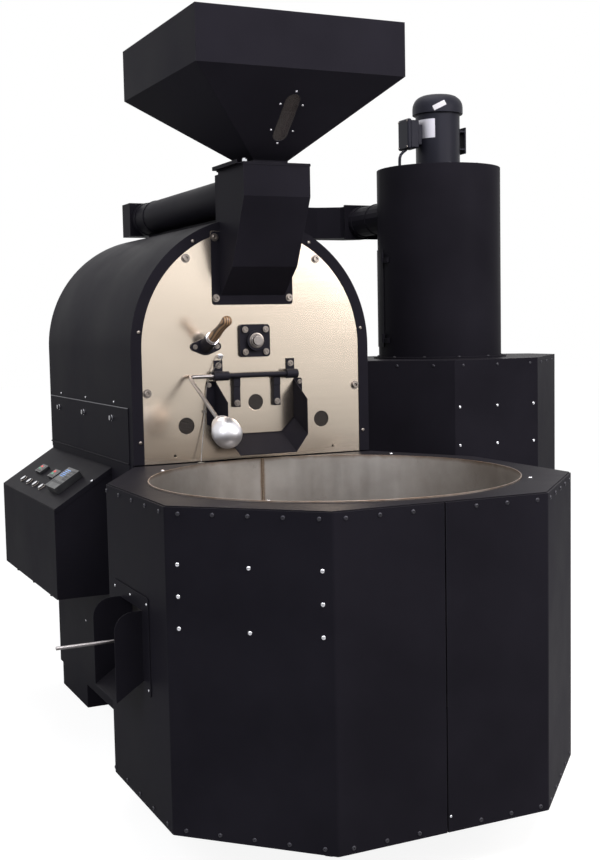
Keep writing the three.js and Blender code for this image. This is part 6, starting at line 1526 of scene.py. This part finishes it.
@dataclass
class Cyclone:
    """The cyclone barrel with its door, blower motor and cabinet."""

    x: float = 1320
    y: float = 765
    top: float = 2408
    top_bolts: float = 272
    foot_top: float = 1507
    foot_bolts: float = 312
    motor_radius: float = 107.4
    cabinet_front: float = 270

    def build(self, fasteners: Fasteners) -> None:
        """Builds the cyclone from its cabinet up."""
        dress_refined({"chaff_cabinet": 1.2}, COAT, smooth=FOLDED)
        dress_refined({"cyclone_body": 0.8}, COAT)
        dress_refined({"cyclone_door": 0.8}, COAT, Body.CYCLONE_DOOR)
        dress_refined({"blower_wheel": 0.4}, BRIGHT_STEEL, Body.BLOWER)
        dress_refined({"blower_motor": 1.5}, MOTOR_PAINT)
        self._labels()
        self._terminal_box(fasteners)
        self._screws(fasteners)

    def around(self, radius: float, degrees: float, height: float) -> Place:
        """Gives the place at a radius and angle about the cyclone's axis."""
        turn = math.radians(degrees)
        return (self.x + radius * math.cos(turn), self.y + radius * math.sin(turn), height)

    def _labels(self) -> None:
        """The motor's blank nameplate, bent round its barrel, and a blank sticker on its cover."""
        steps = 20
        inner, outer = self.motor_radius, self.motor_radius + 0.7
        turns = [172 + 60 * i / steps for i in range(steps + 1)]
        low = 2551
        outline = [self.around(inner, t, low) for t in turns]
        outline += [self.around(outer, t, low) for t in reversed(turns)]
        Piece.sheet("motor_nameplate", outline, (0, 0, 89)).smooth(30).dress(BLANK_PLATE)
        self._sticker()

    def _sticker(self) -> None:
        """A small blank sticker that follows the cover's bend and rises a little to the right."""
        width, height, tilt = 64.0, 24.0, math.radians(25)
        middle, level, reach, shoulder, skirt = 243.0, 2699.0, 62.0, 60.0, 2701.0
        clear()
        bpy.ops.mesh.primitive_plane_add(size=1)
        piece = Piece.added("motor_sticker")
        with piece.editing(action="SELECT"):
            bpy.ops.mesh.subdivide(number_cuts=15)
            bpy.ops.mesh.extrude_region_move(TRANSFORM_OT_translate={"value": (0, 0, 1)})
        for corner in piece.obj.data.vertices:
            u, v = corner.co.x * width, corner.co.y * height
            along = u * math.cos(tilt) - v * math.sin(tilt)
            z = level + u * math.sin(tilt) + v * math.cos(tilt)
            lift = 0.5 if corner.co.z > 0.5 else 0.1
            bend = max(0.0, min(1.0, (z - skirt) / shoulder))
            radius = reach + shoulder * math.sqrt(1 - bend * bend) + lift
            turn = middle + math.degrees(along / (reach + shoulder))
            corner.co = spot(*self.around(radius, turn, z + lift * bend))
        piece.face_out().smooth(40).dress(STICKER)

    def _terminal_box(self, fasteners: Fasteners) -> None:
        """The terminal box with its lid and neck, and the conduit that comes up to it."""
        x, y = self.x, self.y
        boxes = {
            "terminal_box_skin": ((194, 172), 50, (2497, 2641), 9, 4),
            "terminal_box_body": ((174, 128), 44, (2503, 2635), 7, 3),
            "terminal_box_neck": ((132, 104), 30, (2520, 2618), 5, 3),
        }
        lid, body, neck = (
            Piece.block(name, (x - out, y - half, low), (x - back, y + half, high)).rounded(radius, steps)
            for name, ((out, back), half, (low, high), radius, steps) in boxes.items()
        )
        foot, head = (x - 214, y, self.top + 0.3), (x - 169, y, 2509)
        bend = ((214, 2440), (213, 2458), (207, 2474), (195, 2486), (181, 2496))
        middle = [(x - out, y, z) for out, z in bend]
        hose = Piece.tube("conduit", [foot, *middle, head], 7, 4)
        nut = Piece.rod("conduit_nut", foot, (foot[0], y, self.top + 14), 12, 6).rounded(0.8)
        parts = [body, neck, hose, nut]
        lid.gathered(parts).smooth(35).dress(MOTOR_PAINT, replaces=["terminal_box"])
        corners = [(x - 194, y + s * 40, z) for s in (-1, 1) for z in (2508, 2630)]
        fasteners.row("terminal_box_screws", fasteners.small, corners, (-1, 0, 0), BOLT_STEEL)

    def _screws(self, fasteners: Fasteners) -> None:
        """The bolts round the barrel's foot and top, and the cabinet's screws."""
        foot = [self.around(self.foot_bolts, 15 + 30 * i, self.foot_top) for i in range(12)]
        fasteners.row("barrel_foot_bolts", fasteners.small_hexagon, foot, (0, 0, 1), BLACK_SCREW)
        top = [self.around(self.top_bolts, 10 + 30 * i, self.top) for i in range(12)]
        fasteners.row("barrel_top_bolts", fasteners.small_hexagon, top, (0, 0, 1), BLACK_SCREW)
        nut = [(1175, 675, self.top)]
        fasteners.row("barrel_nut", fasteners.cap_nut, nut, (0, 0, 1), BRIGHT_STEEL)
        front = self.cabinet_front
        field_places = [(x, front, z) for x in (1119, 1321, 1522) for z in (1113, 1287)]
        fasteners.row("cabinet_field_screws", fasteners.dome, field_places, (0, -1, 0), BRIGHT_STEEL)
        edge = [(x, front, 1475) for x in (1139, 1322, 1503)]
        fasteners.row("cabinet_front_screws", fasteners.dome, edge, (0, -1, 0), BLACK_SCREW)
        for side, s in (("left", -1), ("right", 1)):
            chamfer = [(self.x + s * (226 + d), front + d, 1475) for d in (70, 190, 310)]
            fasteners.row(f"cabinet_{side}_screws", fasteners.dome, chamfer, (s, -1, 0), BLACK_SCREW)


# How far keys and windows reach into their case, how far a window stands out, and a figure over it
ROOT = 0.2
SCREEN_RISE = 0.5
FIGURE_RISE = 0.35


@dataclass
class Console:
    """The console with its cover, buttons and instruments."""

    foot: Place = (-503.3, 0, 1120)
    fall: float = 151
    reach: float = 236.7

    def build(self, fasteners: Fasteners) -> None:
        """Builds the console."""
        dress_refined({"console_body": 1.0, "console_cover": 0.8}, COAT, smooth=FOLDED)
        for i in range(1, 5):
            dress_refined({f"switch_{i}": 0.8}, BRIGHT_STEEL, Body(f"switch_{i}"))
        nodes = {"controller_1": 1.2, "controller_2": 1.2, "program_controller": 2.0}
        dress_refined(nodes, BLACK_PLASTIC)
        self._controller("small", 135, 752)
        self._controller("middle", 135, 980)
        self._program_controller()
        self._bezels()
        screw = [self.point(93, 306.5, 0.2)]
        fasteners.row("cover_screw", fasteners.dome, screw, self.normal, BRIGHT_STEEL)

    @property
    def slope(self) -> float:
        """The cover's fall in radians."""
        return math.atan2(self.fall, self.reach)

    @property
    def normal(self) -> Place:
        """The way that the cover looks."""
        return (-math.sin(self.slope), 0.0, math.cos(self.slope))

    def point(self, d: float, y: float, h: float) -> Place:
        """Gives the place at a distance down the cover, across it and over it."""
        s, (x, _, z) = self.slope, self.foot
        return (x - math.cos(s) * d - math.sin(s) * h, y, z - math.sin(s) * d + math.cos(s) * h)

    def tile(self, name: str, low: Place, high: Place, rounding: float = 0.0) -> Piece:
        """A block that lies square on the cover; its corners are distance down, across and over."""
        middle = self.point(*((a + b) / 2 for a, b in zip(low, high)))
        clear()
        bpy.ops.mesh.primitive_cube_add(size=1)
        piece = Piece.added(name)
        size = [(b - a) * MM for a, b in zip(low, high)]
        turn = Matrix.Rotation(-self.slope, 4, "Y")
        piece.obj.data.transform(Matrix.Translation(spot(*middle)) @ turn @ Matrix.Diagonal((*size, 1)))
        return piece.face_out().rounded(rounding)

    def _figures(self, name: str, d: float, y: float, h: float, height: float, count: int) -> Piece:
        """A row of seven-segment figures, read from the console's front."""
        pitch, thick, wide = height * 0.78, height * 0.13, height * 0.5
        tall = height * 0.42
        bars = {
            "a": (0.0, 0.0, wide, thick),
            "g": (0.5, 0.0, wide, thick),
            "d": (1.0, 0.0, wide, thick),
            "f": (0.25, -0.5, thick, tall),
            "b": (0.25, 0.5, thick, tall),
            "e": (0.75, -0.5, thick, tall),
            "c": (0.75, 0.5, thick, tall),
        }
        digits = ("abged", "bcfg", "abcdef", "acdfg")
        pieces = []
        for i in range(count):
            for bar in digits[i % len(digits)]:
                down, side, across, along = bars[bar]
                left = y - i * pitch - side * wide
                low = d + (down - 0.5) * height
                near = (low - along / 2, left - across / 2, h)
                pieces.append(self.tile(name, near, (low + along / 2, left + across / 2, h + FIGURE_RISE)))
        return pieces[0].gathered(pieces[1:])

    def _controller(self, size: str, d: float, y: float) -> None:
        """A small panel controller's window, its two rows of figures and its four keys."""
        top = 12.3
        low, high = (d - 17, y - 24, top - ROOT), (d + 9, y + 40, top + SCREEN_RISE)
        window = self.tile(f"{size}_window", low, high, 0.3)
        window.smooth(30).dress(DARK_GLASS)
        upper = self._figures(f"{size}_upper_figures", d - 9.5, y + 30, top + SCREEN_RISE, 10, 4)
        upper.dress(RED_LIGHT)
        lower = self._figures(f"{size}_lower_figures", d + 3, y + 26, top + SCREEN_RISE, 6.5, 4)
        lower.dress(GREEN_LIGHT)
        keys = [
            self.tile(f"{size}_keys", (d + 12.5, side, top - ROOT), (d + 19, side + 14, top + 0.9), 0.4)
            for side in (y - 38, y - 18, y + 2, y + 22)
        ]
        keys[0].gathered(keys[1:]).smooth(30).dress(GREY_PLASTIC)

    def _program_controller(self) -> None:
        """The program controller's sunken screen and its grid of keys."""
        d, y, top = 152.0, 525.0, 30.3
        screen = self.tile("screen", (d - 52, y - 10, top - ROOT), (d + 2, y + 66, top + SCREEN_RISE), 0.4)
        screen.smooth(30).dress(DARK_GLASS)
        lines = []
        for i in range(5):
            low = (d - 46 + 9 * i, y - 4 + 7 * (i % 3), top + SCREEN_RISE)
            lines.append(self.tile("screen_lines", low, (low[0] + 2.5, y + 60, top + SCREEN_RISE + 0.3)))
        lines[0].gathered(lines[1:]).dress(BLUE_LIGHT)
        keys = []
        sizes = [(d - 50 + 16 * row, y - 68 + 18 * column, 11, 13) for row in range(4) for column in range(3)]
        sizes += [(d + 20, y - 66 + 23 * column, 12, 16) for column in range(6)]
        for down, side, length, width in sizes:
            high = (down + length, side + width, top + 1.2)
            keys.append(self.tile("program_keys", (down, side, top - ROOT), high, 0.5))
        keys[0].gathered(keys[1:]).smooth(30).dress(GREY_PLASTIC)

    def _bezels(self) -> None:
        """A steel ring round the foot of each push button."""
        ring = [(14.6, 0.2), (17.5, 0.2), (17.5, 2.6), (16.6, 3.5), (15.2, 3.5), (14.6, 2.8)]
        rings = [
            Piece.turned("button_bezels", ring, self.point(216, y, 0), Vector(self.normal), 36, closed=True)
            for y in (724, 835, 946, 1057)
        ]
        rings[0].gathered(rings[1:]).smooth(30).dress(BOLT_STEEL)


# Studio


@dataclass
class Studio:
    """The pale floor, the soft light and the camera at the photograph's place."""

    camera_place: Place = (-1894.4, -4454.1, 1674.7)
    azimuth: float = -25.103
    elevation: float = 4.914
    roll: float = -1.116
    lens: float = 51.598
    sensor: float = 36.0
    sight: float = 100.0
    floor_size: float = 60
    floor_drop: float = 0.0005
    floor_glow: float = 1.5
    direct_share: float = 0.6
    mirrored_share: float = 0.1
    fill: float = 0.42
    low_glow: float = 0.32
    high_glow: float = 1.25
    horizon: Flat = (-0.13, 0.08)
    lamps: list[tuple[str, Place, Place, float, float, Colour]] = field(
        default_factory=lambda: [
            ("left_softbox", (-4200, -2600, 3900), (0, -300, 1300), 3.2, 120, (0.92, 0.94, 1.0)),
            ("right_softbox", (3600, -4300, 3300), (0, -600, 1300), 2.6, 150, (1.0, 0.955, 0.92)),
            ("front_softbox", (500, -3500, 4700), (300, 0, 2300), 2.4, 210, (1.0, 0.97, 0.98)),
            ("top_softbox", (200, 300, 5600), (200, 0, 0), 3.6, 105, (1.0, 1.0, 1.0)),
        ]
    )

    def build(self) -> None:
        """Builds the floor, the world, the lamps and the camera."""
        self._floor()
        self._world()
        for name, place, target, size, power, colour in self.lamps:
            lamp = bpy.data.lights.new(name, "AREA")
            lamp.shape, lamp.size, lamp.energy, lamp.color = "DISK", size, power, colour
            obj = bpy.data.objects.new(name, lamp)
            obj.location = spot(*place)
            obj.rotation_euler = (spot(*place) - spot(*target)).to_track_quat("Z", "Y").to_euler()
            bpy.context.scene.collection.objects.link(obj)
        self._camera()

    def _floor(self) -> None:
        """A wide pale floor that goes over into the white background and keeps the shadow."""
        clear()
        bpy.ops.mesh.primitive_plane_add(size=self.floor_size, location=(0, 0, -self.floor_drop))
        floor = Piece.added("floor")
        material = bpy.data.materials.new("pale_floor")
        material.use_nodes = True
        graph = Graph(material.node_tree)
        shader = material.node_tree.nodes["Principled BSDF"]
        cloud = graph.noise(graph.coordinates(), 1.5, 4.0)
        colour = graph.blend(cloud, (0.5, 0.5, 0.5), (0.54, 0.54, 0.54))
        Finish.set(graph, shader, Base_Color=colour, Roughness=0.8, Specular_IOR_Level=0.1)
        glow = graph.add("Emission", {"Color": (1.0, 1.0, 1.0), "Strength": self.floor_glow})
        path = graph.add("LightPath")
        seen = graph.math("MAXIMUM", path.outputs["Is Glossy Ray"], path.outputs["Is Transmission Ray"])
        mirrored = graph.times(seen, self.mirrored_share)
        direct = graph.times(path.outputs["Is Camera Ray"], self.direct_share)
        share = graph.math("MAXIMUM", direct, mirrored)
        mixed = graph.add("MixShader", {0: share, 1: shader.outputs[0], 2: glow.outputs[0]})
        material.node_tree.links.new(mixed.outputs[0], material.node_tree.nodes["Material Output"].inputs[0])
        floor.obj.data.materials.append(material)

    def _world(self) -> None:
        """A plain grey light all round, white to the camera and brighter to metal above the horizon."""
        world = bpy.data.worlds.new("studio")
        bpy.context.scene.world = world
        world.use_nodes = True
        graph = Graph(world.node_tree)
        path = graph.add("LightPath")
        way = graph.add("TexCoord").outputs["Generated"]
        height = graph.add("SeparateXYZ", {0: way}).outputs[2]
        low, high = self.low_glow - self.fill, self.high_glow - self.fill
        mirror = graph.spread(height, *self.horizon, low, high)
        plain = graph.plus(graph.times(path.outputs["Is Glossy Ray"], mirror), self.fill)
        behind = graph.math("MAXIMUM", path.outputs["Is Camera Ray"], path.outputs["Is Transmission Ray"])
        strength = graph.math("MAXIMUM", behind, plain)
        back = world.node_tree.nodes["Background"]
        back.inputs["Color"].default_value = (1.0, 1.0, 1.0, 1.0)
        world.node_tree.links.new(strength, back.inputs["Strength"])

    def _camera(self) -> None:
        """The camera, turned as the photograph was taken."""
        a, e, r = (math.radians(v) for v in (self.azimuth, self.elevation, self.roll))
        back = Vector((math.sin(a) * math.cos(e), -math.cos(a) * math.cos(e), math.sin(e)))
        right = (-back).cross(Vector((0, 0, 1))).normalized()
        up = right.cross(-back).normalized()
        turned_right = right * math.cos(r) + up * math.sin(r)
        turned_up = up * math.cos(r) - right * math.sin(r)
        camera = bpy.data.cameras.new("camera")
        camera.lens, camera.sensor_width, camera.sensor_fit = self.lens, self.sensor, "AUTO"
        camera.clip_end = self.sight
        obj = bpy.data.objects.new("camera", camera)
        matrix = Matrix((turned_right, turned_up, back)).transposed().to_4x4()
        obj.matrix_world = Matrix.Translation(spot(*self.camera_place)) @ matrix
        bpy.context.scene.collection.objects.link(obj)
        bpy.context.scene.camera = obj
        bpy.context.scene.view_settings.view_transform = "Standard"


def main() -> None:
    """Builds the studio and every sub-assembly, then removes the fasteners' patterns."""
    logging.basicConfig(level=logging.INFO, format="%(message)s")
    Studio().build()
    fasteners = Fasteners()
    for part in (CoolingBin(), Housing(), FaceFittings(), Feed(), Exhaust(), Cyclone(), Console()):
        part.build(fasteners)
        LOG.info("%s is in place", type(part).__name__)
    fasteners.put_away()


if __name__ == "__main__":
    main()
